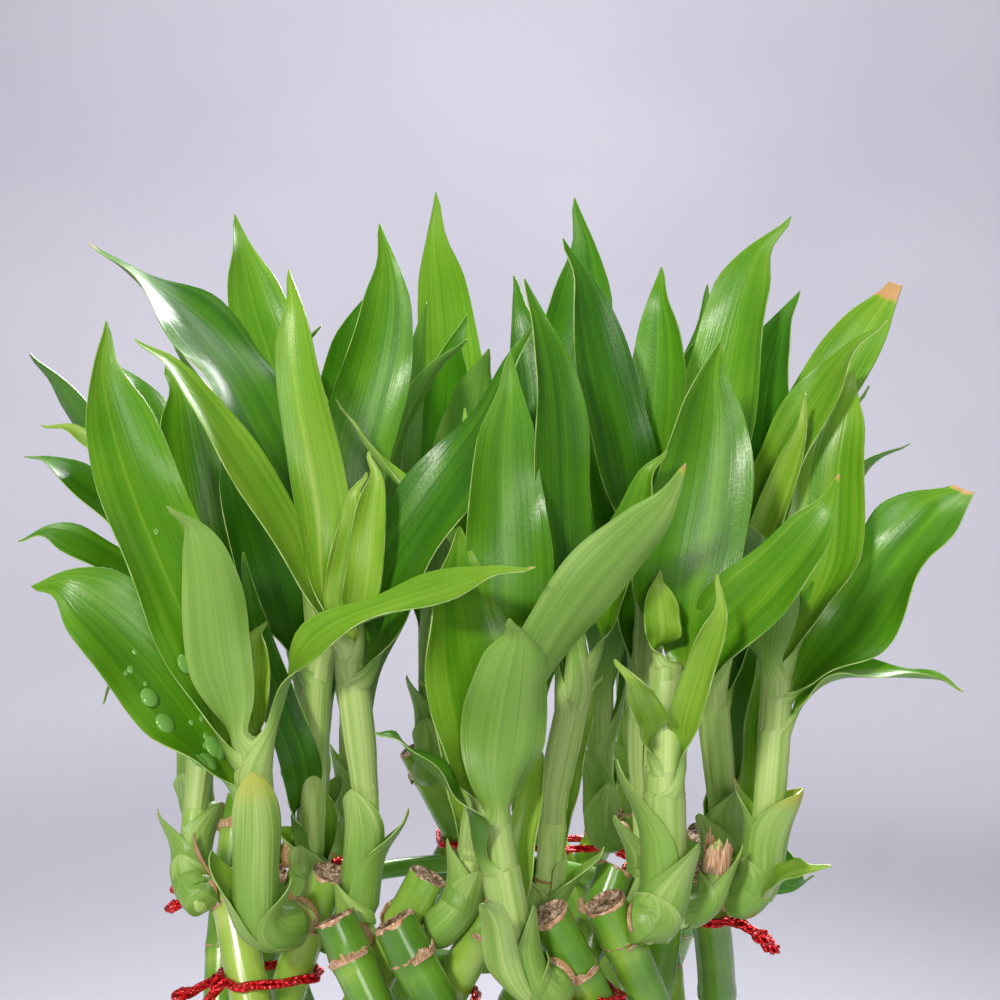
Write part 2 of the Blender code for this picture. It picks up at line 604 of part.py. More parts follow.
def make_bowl(parts):
    rim = BOWL_HEIGHT
    profile = [
        (0, BOWL_FLOOR), (bowl_inner_radius(BOWL_FLOOR) - 1.5, BOWL_FLOOR),
        (bowl_inner_radius(CORNER_TOP), CORNER_TOP), (bowl_inner_radius(rim - 2), rim - 2),
        (bowl_inner_radius(rim) + BOWL_LIP, rim), (BOWL_RADIUS - BOWL_LIP, rim), (BOWL_RADIUS, rim - 2),
        (bowl_inner_radius(CORNER_TOP) + BOWL_WALL, CORNER_TOP), (BOWL_FOOT + 3, 2), (BOWL_FOOT, 0), (0, 0),
    ]
    turned("bowl", profile, "white_glaze", parts)


def make_pebble_bed(parts, cutters):
    """The pebbles fill the bowl round the feet of the stalks, as one bed with a clear hole for each."""
    low = BOWL_FLOOR + GAP
    profile = [
        (0, PEBBLE_TOP), (bowl_inner_radius(PEBBLE_TOP) - PEBBLE_INSET, PEBBLE_TOP),
        (bowl_inner_radius(CORNER_TOP) - PEBBLE_INSET, CORNER_TOP + PEBBLE_INSET),
        (bowl_inner_radius(CORNER_TOP) - 2.5, low), (0, low),
    ]
    bed = turned("pebble_bed", profile, "pebble_stone", parts)
    for name, stalk in STALKS.items():
        below = stalk_point(stalk, STALK_FOOT - HOLE_DEPTH)
        path = [below] + stalk_axis(stalk)[:4]
        curve = tube_curve("hole_" + name, path, stalk.radius + HOLE_CLEARANCE)
        hole = add_object("hole_" + name, mesh_from_curve("hole_" + name, curve), None, cutters)
        hole.hide_render = True
        hole.display_type = "WIRE"
    cut = bed.modifiers.new("Holes", "BOOLEAN")
    cut.operation = "DIFFERENCE"
    cut.operand_type = "COLLECTION"
    cut.collection = cutters


def join_blades(body, blades, cutters):
    """Joins the blades to the stem and drops the doubled flat faces that a union can leave."""
    for number, (leaf, curve) in enumerate(blades):
        blade = bmesh.new()
        add_blade(blade, curve, leaf)
        joined = object_from_bmesh(f"{body.name}_leaf_{number}", blade, None, cutters)
        joined.hide_render = True
        joined.display_type = "WIRE"
        union = body.modifiers.new(f"Leaf {number}", "BOOLEAN")
        union.operation = "UNION"
        union.solver = "MANIFOLD"
        union.object = joined
    evaluated = body.evaluated_get(bpy.context.evaluated_depsgraph_get())
    whole = bmesh.new()
    whole.from_mesh(bpy.data.meshes.new_from_object(evaluated))
    bmesh.ops.triangulate(whole, faces=whole.faces)
    by_corners = {}
    for face in whole.faces:
        by_corners.setdefault(frozenset(face.verts), []).append(face)
    scraps = [face for faces in by_corners.values() if len(faces) > 1 for face in faces]
    bmesh.ops.delete(whole, geom=scraps, context="FACES")
    body.modifiers.clear()
    whole.to_mesh(body.data)
    whole.free()


def make_shoots(parts, cutters):
    """Each shoot is one grown body: its stem joined with its leaves."""
    shoots = FRONT_SHOOTS + [back_shoot(row, seed) for seed, row in enumerate(BACK_SHOOTS)]
    standing = []
    for stalk in STALKS.values():
        axis = stalk_axis(stalk)
        standing.append(tree_of(add_tube, axis, [stalk.radius + LEAF_CLEARANCE] * len(axis), STEM_SIDES))
    for shoot, path, blades in grow(shoots, standing):
        stem = bmesh.new()
        radii = [stem_radius(shoot.radius, i / (STEM_RINGS - 1)) for i in range(STEM_RINGS)]
        add_tube(stem, path, radii, STEM_SIDES)
        body = object_from_bmesh("shoot_" + shoot.stalk, stem, "leaf_green", parts)
        join_blades(body, blades, cutters)


def main():
    for old in list(bpy.data.objects):
        bpy.data.objects.remove(old)
    parts = bpy.data.collections.new("lucky_bamboo")
    holes = bpy.data.collections.new("stalk_holes")
    blades = bpy.data.collections.new("leaf_blades")
    for collection in (parts, holes, blades):
        bpy.context.scene.collection.children.link(collection)
    make_stalks(parts)
    make_hoop(parts)
    make_ties(parts)
    make_bowl(parts)
    make_pebble_bed(parts, holes)
    make_shoots(parts, blades)


main()
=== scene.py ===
"""Lucky bamboo, the looks: a woven ring of glossy dracaena canes bound with red foil round a green hoop, each cane
with a leafy shoot near its cut top, in a glazed bowl of pebbles.

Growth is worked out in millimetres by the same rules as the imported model, so every leaf and cane lies on its CAD
body; MM turns it to metres where a vertex is placed. The front faces -Y, +Z is up, and the origin is the centre of
the bowl's underside.
"""

from collections import namedtuple
from math import cos, degrees, exp, pi, radians, sin, sqrt, tan
from random import Random

import bmesh
import bpy
from mathutils import Matrix, Vector, noise
from mathutils.bvhtree import BVHTree


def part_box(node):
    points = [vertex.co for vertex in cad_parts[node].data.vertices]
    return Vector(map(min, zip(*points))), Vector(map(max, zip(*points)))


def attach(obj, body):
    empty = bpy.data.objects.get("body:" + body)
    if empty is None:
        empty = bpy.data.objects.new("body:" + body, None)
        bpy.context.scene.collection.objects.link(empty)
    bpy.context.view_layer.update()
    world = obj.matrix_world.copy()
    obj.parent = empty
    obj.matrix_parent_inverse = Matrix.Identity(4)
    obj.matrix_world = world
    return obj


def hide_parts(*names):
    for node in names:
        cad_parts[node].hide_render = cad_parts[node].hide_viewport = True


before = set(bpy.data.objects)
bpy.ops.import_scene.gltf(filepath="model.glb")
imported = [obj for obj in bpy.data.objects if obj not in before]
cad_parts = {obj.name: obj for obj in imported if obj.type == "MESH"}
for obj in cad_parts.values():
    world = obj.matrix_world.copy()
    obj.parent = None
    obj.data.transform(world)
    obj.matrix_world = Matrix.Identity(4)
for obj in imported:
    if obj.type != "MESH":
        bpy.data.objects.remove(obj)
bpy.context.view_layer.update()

MM = 0.001
UP = Vector((0, 0, 1))

# ---------------------------------------------------------------- the growth plan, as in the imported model

GAP = 0.3
LEAN = 28.0
RING = {"outer": 70.4, "inner": 58.6}
LEAN_SIGN = {"outer": 1, "inner": -1}
STALK_FOOT = 9.4
STALK_STEP = 20.0
CHORD_SAG = 0.15
TIE_POINTS = 12
TIE_MOUTH = 0.6
TIE_OPEN = 0.4
TIE_STANDOFF = 1.45
TAIL = 7.0
TAIL_DROPS = (5.0, 2.0)
STEM_SIDES = 7
STEM_RINGS = 10
STEM_SQUARE = 0.6
STEM_TAPER = 0.2
LEAF_RINGS = 6
LEAF_THICKNESS = 1.3
LEAF_CHANNEL = 0.22
LEAF_CLEARANCE = 0.5
LEAF_SPREAD = 0.08
LEAF_TIP_PULL = 0.33
GOLDEN_TURN = 137.5
OWN_START = 0.35

# A stalk leans along the ring; its angle and height are those of its cut top. Each layer is numbered from the left.
Stalk = namedtuple("Stalk", "layer angle top radius")
STALK_ROWS = {
    "outer": [
        (-65, 207, 5.5), (-27, 205, 5.4), (-14, 206, 5.6), (16.5, 207.5, 5.5),
        (29, 208.5, 5.5), (62, 209, 5.4), (101, 208, 5.2), (140, 206, 5.4),
        (178, 209, 5), (217, 207, 5.3), (256, 218, 5.2),
    ],
    "inner": [
        (-66, 206, 4.8), (-36, 212, 5.1), (-9, 214, 5.1), (8, 208, 5),
        (41, 212.5, 5), (75, 209, 4.8), (122, 210, 4.9), (160, 207, 5),
        (200, 226, 4.9), (238, 208, 4.9), (274, 211, 4.8),
    ],
}
STALKS = {f"{layer}_{number:02d}": Stalk(layer, *row)
          for layer, rows in STALK_ROWS.items() for number, row in enumerate(rows, 1)}

# Each tie holds an outer and an inner stalk where they cross, at a height.
TIES = [(f"outer_{outer:02d}", f"inner_{inner:02d}", height) for outer, inner, height in (
    (1, 2, 183), (2, 3, 178), (3, 4, 184.5), (4, 5, 185.5), (5, 6, 162), (6, 6, 195),
    (7, 7, 195), (8, 8, 195), (9, 9, 195), (10, 10, 195), (11, 11, 195))]

# A leaf leaves its stem at a share of the stem's length and runs to its tip. Its upper side turns to face
# `upper` along the blade. `lift` is how far it first follows the stem, `curl` how much its tip droops. The rest is
# what it shows beside its rule: tone 0 dark to 1 pale, `dry` from this share of its length, `trim` a blunt end,
# `fold` about its midrib, `wave` of its edges, and the millimetres that it lies `over` its CAD body where another
# leaf crosses it.
Leaf = namedtuple("Leaf", "start tip width upper lift curl tone dry trim fold wave over",
                  defaults=(0.3, 0.0, None, 1.1, 1.0, None, 1.0, 0.0))
# A shoot leaves its stalk at height `foot` and follows the points of its stem.
Shoot = namedtuple("Shoot", "stalk foot radius stem leaves")
# The shoots from the front of the ring, leaf by leaf; those in front are placed first.
FRONT_SHOOTS = [
    Shoot("inner_02", 202, 4.6, [(-46, -57, 201), (-51, -62, 206), (-51, -62, 228), (-53, -61, 250)], [
        Leaf(0.96, (-66, -75, 307), 15, (-0.2, 0.9, 0.3), 0.2, tone=0.66),
        Leaf(0.92, (-93, -55, 352), 23, (0.5, -0.8, 0.3), 0.1, -0.25, tone=0.56),
        Leaf(0.84, (-106, -65, 290), 26, (0.1, -0.7, 0.7), 0.15, 0.45, tone=0.52),
        Leaf(0.9, (15, -92, 295), 12, (-0.1, -0.6, 0.8), 0.45, 0.15, tone=0.66, dry=0.99, over=0.8),
        Leaf(0.98, (-52, -58, 277), 9, (0, -1, 0.1), 0.2),
    ]),
    Shoot("outer_04", 196, 4.4, [(19, -75, 191), (14, -77, 196), (11, -77, 208), (8, -76, 224), (6, -75, 240)], [
        Leaf(0.9, (14, -88, 281), 20, (0, 0.9, 0.3), 0.25, 0.1, tone=0.62, fold=0.75),
        Leaf(0.96, (52, -85, 315), 17, (-0.3, 0.7, 0.6), 0.45, -0.1, tone=0.64, dry=0.99),
        # its pale tone is partly painted light: raised so it reads bright with sheen where the leaf in front shades
        # it
        Leaf(0.94, (-1, -70, 301), 24, (0.3, -0.9, 0.3), 0.1, tone=0.58),
        Leaf(0.78, (-17, -80, 259), 11, (0, -0.4, 1), 0.2, 0.3),
        Leaf(0.6, (20, -72, 247), 7, (-0.4, -0.8, 0.2), 0.25),
        Leaf(0.25, (3, -82, 220), 8, (0.1, 0.9, 0.2)),
    ]),
    Shoot("outer_05", 202, 4.9, [(45, -64, 204), (49, -62, 212), (49, -60, 240), (50, -58, 268)], [
        Leaf(0.95, (62, -55, 348), 25, (0, -1, 0.1), 0.1, tone=0.5),
        Leaf(0.9, (90, -75, 312), 17, (-0.3, -0.8, 0.5), 0.15, -0.15, tone=0.54, dry=0.99),
        Leaf(0.98, (47, -62, 289), 9, (0, -1, 0)),
        Leaf(0.78, (38, -66, 269), 8, (0.3, -0.9, 0.1), 0.2),
        Leaf(0.74, (65, -68, 272), 8, (-0.4, -0.8, 0.3), 0.2, 0.1),
    ]),
    Shoot("outer_06", 203, 4.4, [(73, -36, 203), (77, -37, 210), (79, -36, 228), (81, -34, 248), (82, -34, 262)], [
        Leaf(0.9, (132, -30, 311), 26, (-0.4, -0.8, 0.5), 0.1, -0.25, tone=0.5, dry=0.995, trim=0.9, fold=0.75),
        Leaf(0.8, (128, -45, 261), 9, (0, -0.3, 1), 0.4, 0.35, tone=0.6, dry=0.99),
        Leaf(0.96, (60, -50, 313), 20, (0.3, 0.8, 0.3), 0.3, -0.1),
        Leaf(0.98, (106, -25, 343), 22, (-0.5, -0.8, 0.2), 0.3, -0.1, tone=0.66),
        Leaf(0.3, (85, -42, 217), 7, (-0.5, -0.5, 0.7), 0.2, 0.2),
    ]),
    Shoot("outer_02", 199, 3.8, [
        (-27, -54, 200), (-27, -52, 208), (-25, -53, 228), (-27, -55, 250), (-30, -57, 276)], [
        Leaf(0.9, (13, -62, 353), 22, (-0.4, -0.8, 0.4), 0.1, 0.1, tone=0.36, over=-2.2),
        Leaf(0.96, (-76, -70, 348), 13, (0.6, -0.6, 0.5), 0.2, 0.2, tone=0.7, wave=0.6),
        Leaf(0.98, (-43, -50, 367), 13, (0.1, -1, 0.2), 0.15, tone=0.72),
        Leaf(0.94, (-20, -62, 318), 9, (0, -1, 0.1), 0.25),
        Leaf(0.92, (-29, -60, 314), 9, (0, -1, 0.1), 0.25),
    ]),
    Shoot("inner_03", 204, 3.8, [(-3, -61, 205), (0, -60, 211), (2, -59, 224), (5, -58, 238), (7, -57, 254)], [
        Leaf(0.96, (12, -82, 342), 20, (0.1, -1, 0.1), 0.1, tone=0.5, over=1.3),
        Leaf(0.9, (-32, -45, 335), 9, (0.3, -0.3, 0.9), 0.6, 0.1),
        Leaf(0.98, (-2, -58, 330), 8, (-0.2, -1, 0.1), tone=0.7, over=-4.5),
        Leaf(0.55, (-9, -56, 262), 8, (0.3, -0.8, 0.3), 0.3, 0.2),
    ]),
    Shoot("inner_04", 203, 4, [(15, -52, 202), (21, -50, 210), (22, -50, 230), (26, -50, 250), (30, -51, 268)], [
        Leaf(0.92, (15, -70, 360), 15, (0.3, -0.9, 0.3), 0.35, -0.1, tone=0.38),
        Leaf(0.97, (45, -66, 320), 10, (-0.2, -0.9, 0.2), 0.2, 0.1),
        Leaf(0.85, (2, -48, 330), 12, (0.3, -0.8, 0.3), 0.4, 0.2),
        Leaf(0.5, (33, -54, 262), 7, (-0.4, -0.8, 0.3), 0.3, 0.1),
        Leaf(0.88, (10, -33, 367), 15, (0.1, -0.9, 0.2)),
    ]),
    Shoot("inner_05", 204, 3.7, [(43, -42, 204), (47, -39, 211), (46, -37, 235), (47, -36, 262), (48, -36, 285)], [
        Leaf(0.95, (28, -45, 375), 17, (0.3, -0.9, 0.1), 0.35, tone=0.34),
        Leaf(0.97, (50, -30, 370), 17, (-0.4, -0.9, 0.1), 0.2),
        Leaf(0.9, (85, -12, 388), 22, (-0.5, -0.8, 0.2), 0.25, -0.2, tone=0.58),
        Leaf(0.85, (66, -10, 360), 14, (-0.4, -0.8, 0.3), 0.3, 0.2),
        Leaf(0.5, (58, -44, 262), 8, (-0.4, -0.8, 0.2), 0.25, 0.1),
        Leaf(0.8, (36, -28, 342), 16, (0, -1, 0.1)),
    ]),
    Shoot("inner_06", 203, 4.2, [(66, -13, 203), (71, -11, 208), (70, -11, 228), (68, -12, 252), (67, -14, 272)], [
        Leaf(0.92, (119, -10, 369), 18, (-0.5, -0.8, 0.2), 0.4, tone=0.66, dry=0.96, trim=0.93),
        Leaf(0.96, (109, -22, 346), 16, (-0.5, -0.8, 0.2), 0.3, 0.2, tone=0.64),
        Leaf(0.98, (89, -27, 356), 20, (-0.3, -0.9, 0.3), 0.4, 0.2, tone=0.3),
        Leaf(0.85, (90, -36, 333), 9, (-0.3, -0.9, 0.2), 0.2),
        Leaf(0.6, (92, 2, 318), 13, (-0.6, -0.3, 0.7), 0.2, 0.3),
        Leaf(0.35, (82, -22, 246), 7, (-0.4, -0.8, 0.2), 0.2),
        Leaf(0.8, (84, -8, 332), 15, (-0.4, -0.8, 0.2), 0.2, tone=0.26),
    ]),
    Shoot("inner_01", 200, 3.9, [
        (-46, -18, 201), (-43, -23, 208), (-41, -33, 228), (-40, -38, 250), (-38, -39, 272)], [
        Leaf(0.9, (-61, -45, 328), 20, (0.3, -0.9, 0.2), 0.15, tone=0.26),
        Leaf(0.97, (-104, -20, 380), 23, (0.3, -0.7, 0.6), 0.55, 0.35, tone=0.36, dry=0.99),
        Leaf(0.94, (-22, -27, 382), 19, (0.2, -0.9, 0.1), 0.4, -0.1, tone=0.52),
        Leaf(0.98, (-66, -4, 390), 19, (0.2, -0.9, 0.1), 0.4, -0.1, tone=0.58),
        Leaf(0.45, (-44, -46, 273), 10, (0, -1, 0)),
    ]),
    Shoot("outer_01", 203, 3.8, [
        (-70, -37, 203), (-74, -30, 209), (-74, -18, 232), (-71, -15, 256), (-70, -16, 272)], [
        Leaf(0.94, (-128, -2, 322), 15, (0.3, -0.6, 0.7), 0.25, 0.3),
        Leaf(0.85, (-125, -12, 300), 14, (0.1, -0.5, 0.9), 0.2, 0.45),
        Leaf(0.98, (-118, -10, 332), 8, (0.3, -0.6, 0.6), 0.4, 0.4),
        Leaf(0.97, (-81, -8, 345), 18, (0.3, -0.9, 0.2), 0.2),
        Leaf(0.8, (-104, -10, 253), 9, (0, -0.4, 0.9), 0.25, 0.5),
    ]),
]

# The shoots behind stand on the outer or inner side of their stalk and fan their leaves by a fixed rule;
# the taller leaves that rise over the crown are given one by one.
BackShoot = namedtuple("BackShoot", "stalk side height turn count leaves")
BACK_SHOOTS = [
    BackShoot("outer_11", 1, 62, 40, 5, []),
    BackShoot("inner_11", -1, 66, 150, 3, [Leaf(0.96, (-27, -5, 372), 23, (0.2, -0.9, 0.1), tone=0.4)]),
    BackShoot("outer_10", 1, 70, 100, 4, []),
    BackShoot("inner_10", -1, 58, 20, 4, [Leaf(0.9, (-33, 8, 356), 19, (0.1, -0.9, 0.2))]),
    BackShoot("inner_09", -1, 64, 75, 4, [Leaf(0.9, (-4, 12, 362), 17, (0.1, -0.9, 0.2))]),
    BackShoot("outer_09", 1, 60, 10, 4, [Leaf(0.96, (-22, 50, 405), 21, (0.2, -0.9, 0.1), 0.5, tone=0.7)]),
    BackShoot("inner_08", -1, 62, 130, 3, [Leaf(0.96, (34, 20, 398), 25, (0, -0.9, 0.2), tone=0.4)]),
    BackShoot("outer_08", 1, 66, 60, 5, [Leaf(0.9, (80, 24, 376), 18, (-0.1, -0.9, 0.2))]),
    BackShoot("inner_07", -1, 56, 95, 4, [Leaf(0.9, (72, 18, 372), 16, (-0.2, -0.9, 0.2))]),
    BackShoot("outer_07", 1, 60, 30, 4, [Leaf(0.12, (101, 20, 189), 15, (-0.2, -1, 0.2), 0.1, 0.1)]),
]
BACK_FOOT_DROP = 5.5
BACK_STEM_OFFSET = 12.0
BACK_STEM_RADIUS = 3.8
BACK_REACH = (30, 56)
BACK_RISE = (62, 104)
BACK_TOP = 352.0
BACK_WIDTH = (13, 20)

# What a leaf tries, in turn, until it is clear of what stands already: a swing about its stem in degrees,
# a rise of its tip, and a push of its tip towards the back.
SETTLE_MOVES = [(0, 0, 0)] + [
    (swing, rise, push)
    for reach in (1, 2, 3, 4, 5)
    for swing, rise, push in (
        (0, 0, 5 * reach), (0, 0, -5 * reach),
        (6 * reach, 0, 0), (-6 * reach, 0, 0),
        (0, 6 * reach, 0), (0, -6 * reach, 0),
        (6 * reach, 5 * reach, 4 * reach), (-6 * reach, 5 * reach, -4 * reach),
    )
]


# ---------------------------------------------------------------- directions

def flat(vector):
    """The direction of a vector seen from above."""
    return Vector((vector.x, vector.y, 0)).normalized()


def square_to(vector, along):
    """The direction of a vector's part that is square to another direction."""
    return (vector - along * vector.dot(along)).normalized()


def turned(first, second, angle):
    """The direction at an angle from the first towards the second."""
    return first * cos(angle) + second * sin(angle)


# ---------------------------------------------------------------- the ring of stalks

def ring_point(radius, angle, height):
    """A point at an angle from the front, as a vector in millimetres."""
    return Vector((radius * sin(radians(angle)), -radius * cos(radians(angle)), height))


def stalk_point(stalk, height):
    """The axis of a leaning stalk at a height."""
    ring = RING[stalk.layer]
    turn = degrees(tan(radians(LEAN)) / ring) * (stalk.top - height)
    return ring_point(ring, stalk.angle + LEAN_SIGN[stalk.layer] * turn, height)


def stalk_axis(stalk):
    """The points of a stalk's axis from its foot to its cut top."""
    rise = stalk.top - STALK_FOOT
    steps = max(2, round(rise / STALK_STEP))
    return [stalk_point(stalk, STALK_FOOT + rise * i / steps) for i in range(steps + 1)]


def stalk_frame(stalk, height):
    """A stalk's axis point at a height, the direction of its axis there and two directions across it."""
    axis = (stalk_point(stalk, height + 1) - stalk_point(stalk, height - 1)).normalized()
    side = axis.cross(flat(stalk_point(stalk, height))).normalized()
    return stalk_point(stalk, height), axis, side, side.cross(axis)


# ---------------------------------------------------------------- how shoots and leaves grow

def bezier(points, t):
    """A point on a cubic Bezier curve."""
    s = 1 - t
    a, b, c, d = points
    return a * s ** 3 + b * (3 * s * s * t) + c * (3 * s * t * t) + d * t ** 3


def smooth(t):
    """An eased step from 0 to 1."""
    t = min(max(t, 0.0), 1.0)
    return t * t * (3 - 2 * t)


def through(points, count):
    """Evenly spread points on a Catmull-Rom curve through the given points."""
    ends = [points[0] * 2 - points[1]] + points + [points[-1] * 2 - points[-2]]
    spans = len(points) - 1
    result = []
    for i in range(count):
        place = i * spans / (count - 1)
        k = min(int(place), spans - 1)
        t = place - k
        a, b, c, d = ends[k:k + 4]
        result.append(0.5 * (2 * b + (c - a) * t + (2 * a - 5 * b + 4 * c - d) * t * t
                             + (3 * b - a - 3 * c + d) * t ** 3))
    return result


def stem_path(stalk, foot, radius, points):
    """The stem's centre line, from just off the side of its stalk."""
    axis, lean = stalk_frame(stalk, foot)[:2]
    out = square_to(Vector(points[0]) - axis, lean)
    start = axis + out * (stalk.radius + GAP + CHORD_SAG)
    square = start + out * (radius * STEM_SQUARE)
    return [start] + through([square] + [Vector(p) for p in points], STEM_RINGS - 1)


def stem_radius(radius, share):
    """A stem's radius at a share of its length."""
    return radius * (1.0 - STEM_TAPER * share)


def back_shoot(row, seed):
    """The stem and the leaves of a shoot that follows the rule."""
    stalk = STALKS[row.stalk]
    foot = stalk.top - BACK_FOOT_DROP
    axis = stalk_point(stalk, foot)
    outward = flat(axis) * row.side
    base = axis + outward * BACK_STEM_OFFSET
    stem = [base + outward * (2 * min(i, 1)) + UP * (1 + (row.height - 1) * share)
            for i, share in enumerate((0.0, 0.12, 0.55, 1.0))]
    rule = Random(seed)
    leaves = list(row.leaves)
    for k in range(row.count):
        out = ring_point(1, row.turn + GOLDEN_TURN * k, 0)
        tip = stem[-1] + out * rule.uniform(*BACK_REACH) + UP * rule.uniform(*BACK_RISE)
        tip.z = min(tip.z, BACK_TOP)
        leaves.append(Leaf(0.75 + 0.05 * k, tuple(tip), rule.uniform(*BACK_WIDTH),
                           tuple(UP * 0.7 - out), 0.3, 0.25))
    return Shoot(row.stalk, foot, BACK_STEM_RADIUS, [tuple(p) for p in stem], leaves)


def leaf_curve(path, leaf, move):
    """The four Bezier points of a leaf's midrib, after a settling move of its tip."""
    swing, rise, push = move
    place = leaf.start * (len(path) - 1)
    k = min(int(place), len(path) - 2)
    base = path[k].lerp(path[k + 1], place - k)
    along = (path[k + 1] - path[k]).normalized()
    chord = Matrix.Rotation(radians(swing), 3, "Z") @ (Vector(leaf.tip) - base) + Vector((0, push, rise))
    length = chord.length
    out = flat(chord)
    end = (chord / length - UP * leaf.curl).normalized()
    tip = base + chord
    return [base, base + (along * leaf.lift + out * LEAF_SPREAD) * length, tip - end * (length * LEAF_TIP_PULL), tip]


def blade_half_width(width, t):
    """Half the width of a leaf along its length: a narrow neck, a broad middle and a long point."""
    neck = 0.30 + 0.70 * smooth((t - 0.10) / 0.38)
    point = (1 - (2 * t - 1) ** 2) ** 0.85 if t > 0.5 else 1.0
    return 0.5 * width * neck * point


def blade_frame(curve, leaf, t):
    """A leaf's direction and the way its upper side faces, at a share of its length."""
    along = (bezier(curve, min(t + 0.01, 1.0)) - bezier(curve, max(t - 0.01, 0.0))).normalized()
    out = flat(curve[3] - curve[0])
    return along, square_to((-out).lerp(Vector(leaf.upper).normalized(), smooth(t / 0.45)), along)


def add_blade(mesh, curve, leaf, first, extra):
    """A closed blade in a bmesh: a shallow channel in section, drawn to a point at its tip."""
    thick = LEAF_THICKNESS / 2 + extra
    shares = [first + (1 - first) * i / LEAF_RINGS for i in range(LEAF_RINGS + 1)]
    rings = []
    for t in shares[:-1]:
        here, (along, upper), half = bezier(curve, t), blade_frame(curve, leaf, t), blade_half_width(leaf.width, t)
        side = along.cross(upper) * (half + extra)
        lift = upper * (half * LEAF_CHANNEL)
        rings.append([mesh.verts.new(p) for p in (
            here - side + lift, here - upper * thick, here + side + lift, here + upper * thick)])
    tip = mesh.verts.new(bezier(curve, shares[-1]))
    faces = [mesh.faces.new(rings[0])]
    for low, high in zip(rings, rings[1:]):
        faces += [mesh.faces.new((low[i], low[i - 3], high[i - 3], high[i])) for i in range(4)]
    faces += [mesh.faces.new((rings[-1][i], rings[-1][i - 3], tip)) for i in range(4)]
    bmesh.ops.recalc_face_normals(mesh, faces=faces)


def across_frame(path):
    """At each point of a path, its direction and two directions across it, without twist."""
    frames = []
    side = (path[1] - path[0]).orthogonal()
    for i in range(len(path)):
        along = (path[min(i + 1, len(path) - 1)] - path[max(i - 1, 0)]).normalized()
        side = square_to(side, along)
        frames.append((along, side, along.cross(side)))
    return frames


def add_tube(mesh, path, radius):
    """A closed tube through a path in a bmesh."""
    rings = [[mesh.verts.new(here + turned(side, other, 2 * pi * k / STEM_SIDES) * radius) for k in range(STEM_SIDES)]
             for here, (_, side, other) in zip(path, across_frame(path))]
    faces = [mesh.faces.new(rings[0]), mesh.faces.new(rings[-1])]
    for low, high in zip(rings, rings[1:]):
        faces += [mesh.faces.new((low[k - 1], low[k], high[k], high[k - 1])) for k in range(STEM_SIDES)]
    bmesh.ops.recalc_face_normals(mesh, faces=faces)


def tree_of(adder, *arguments):
    """A search tree of one test shape, and the shape's lowest and highest corners."""
    mesh = bmesh.new()
    adder(mesh, *arguments)
    corners = [vert.co for vert in mesh.verts]
    low = Vector([min(c[i] for c in corners) for i in range(3)])
    high = Vector([max(c[i] for c in corners) for i in range(3)])
    tree = BVHTree.FromBMesh(mesh)
    mesh.free()
    return tree, low, high


def touches(shape, others):
    """Whether a test shape crosses any of the others."""
    tree, low, high = shape
    for other, other_low, other_high in others:
        apart = any(low[i] > other_high[i] or other_low[i] > high[i] for i in range(3))
        if not apart and tree.overlap(other):
            return True
    return False


def grow(shoots, standing):
    """Settles every leaf in turn: a list of (shoot, stem path, leaf curves), and nothing that crosses."""
    paths = [stem_path(STALKS[s.stalk], s.foot, s.radius, s.stem) for s in shoots]
    stems = [tree_of(add_tube, path, s.radius + LEAF_CLEARANCE) for s, path in zip(shoots, paths)]
    placed = list(standing)
    grown = []
    for i, (shoot, path) in enumerate(zip(shoots, paths)):
        others = placed + stems[:i] + stems[i + 1:]
        own = []
        leaves = []
        for leaf in shoot.leaves:
            for move in SETTLE_MOVES:
                curve = leaf_curve(path, leaf, move)
                whole = tree_of(add_blade, curve, leaf, 0.0, LEAF_CLEARANCE)
                free = tree_of(add_blade, curve, leaf, OWN_START, LEAF_CLEARANCE)
                if not touches(whole, others) and not touches(free, own + [stems[i]]):
                    leaves.append((leaf, curve))
                    own.append(free)
                    placed.append(whole)
                    break
        grown.append((shoot, path, leaves))
    return grown


def tie_path(first, second, height):
    """A belt round two stalks at a height, ending in two short tails that point outwards."""
    sections = [(stalk_point(s, height), s) for s in (STALKS[first], STALKS[second])]
    middle = (sections[0][0] + sections[1][0]) / 2
    outward = flat(middle)
    sideways = Vector((-outward.y, outward.x, 0))
    stretch = 1 / cos(radians(LEAN))
    belt = []
    for i in range(TIE_POINTS):
        turn = pi / TIE_POINTS * TIE_MOUTH
        angle = turn + 2 * pi * i / TIE_POINTS * (TIE_POINTS - TIE_MOUTH) / (TIE_POINTS - TIE_OPEN)
        pull = (cos(angle), sin(angle))
        reach = []
        for centre, stalk in sections:
            across = stalk.radius * stretch
            size = sqrt((stalk.radius * pull[0]) ** 2 + (across * pull[1]) ** 2)
            deep = stalk.radius ** 2 * pull[0] / size + TIE_STANDOFF * pull[0]
            wide = across ** 2 * pull[1] / size + TIE_STANDOFF * pull[1]
            corner = centre - middle + outward * deep + sideways * wide
            reach.append((corner.dot(outward) * pull[0] + corner.dot(sideways) * pull[1], corner))
        belt.append(middle + max(reach, key=lambda r: r[0])[1])
    tail = outward * TAIL
    return [belt[0] + tail - UP * TAIL_DROPS[0]] + belt + [belt[-1] + tail - UP * TAIL_DROPS[1]]


# ---------------------------------------------------------------- shader helpers

def srgb(code):
    """A #rrggbb colour as linear red, green, blue and alpha."""
    channels = [int(code[i:i + 2], 16) / 255 for i in (1, 3, 5)]
    return (*[c / 12.92 if c <= 0.04045 else ((c + 0.055) / 1.055) ** 2.4 for c in channels], 1.0)


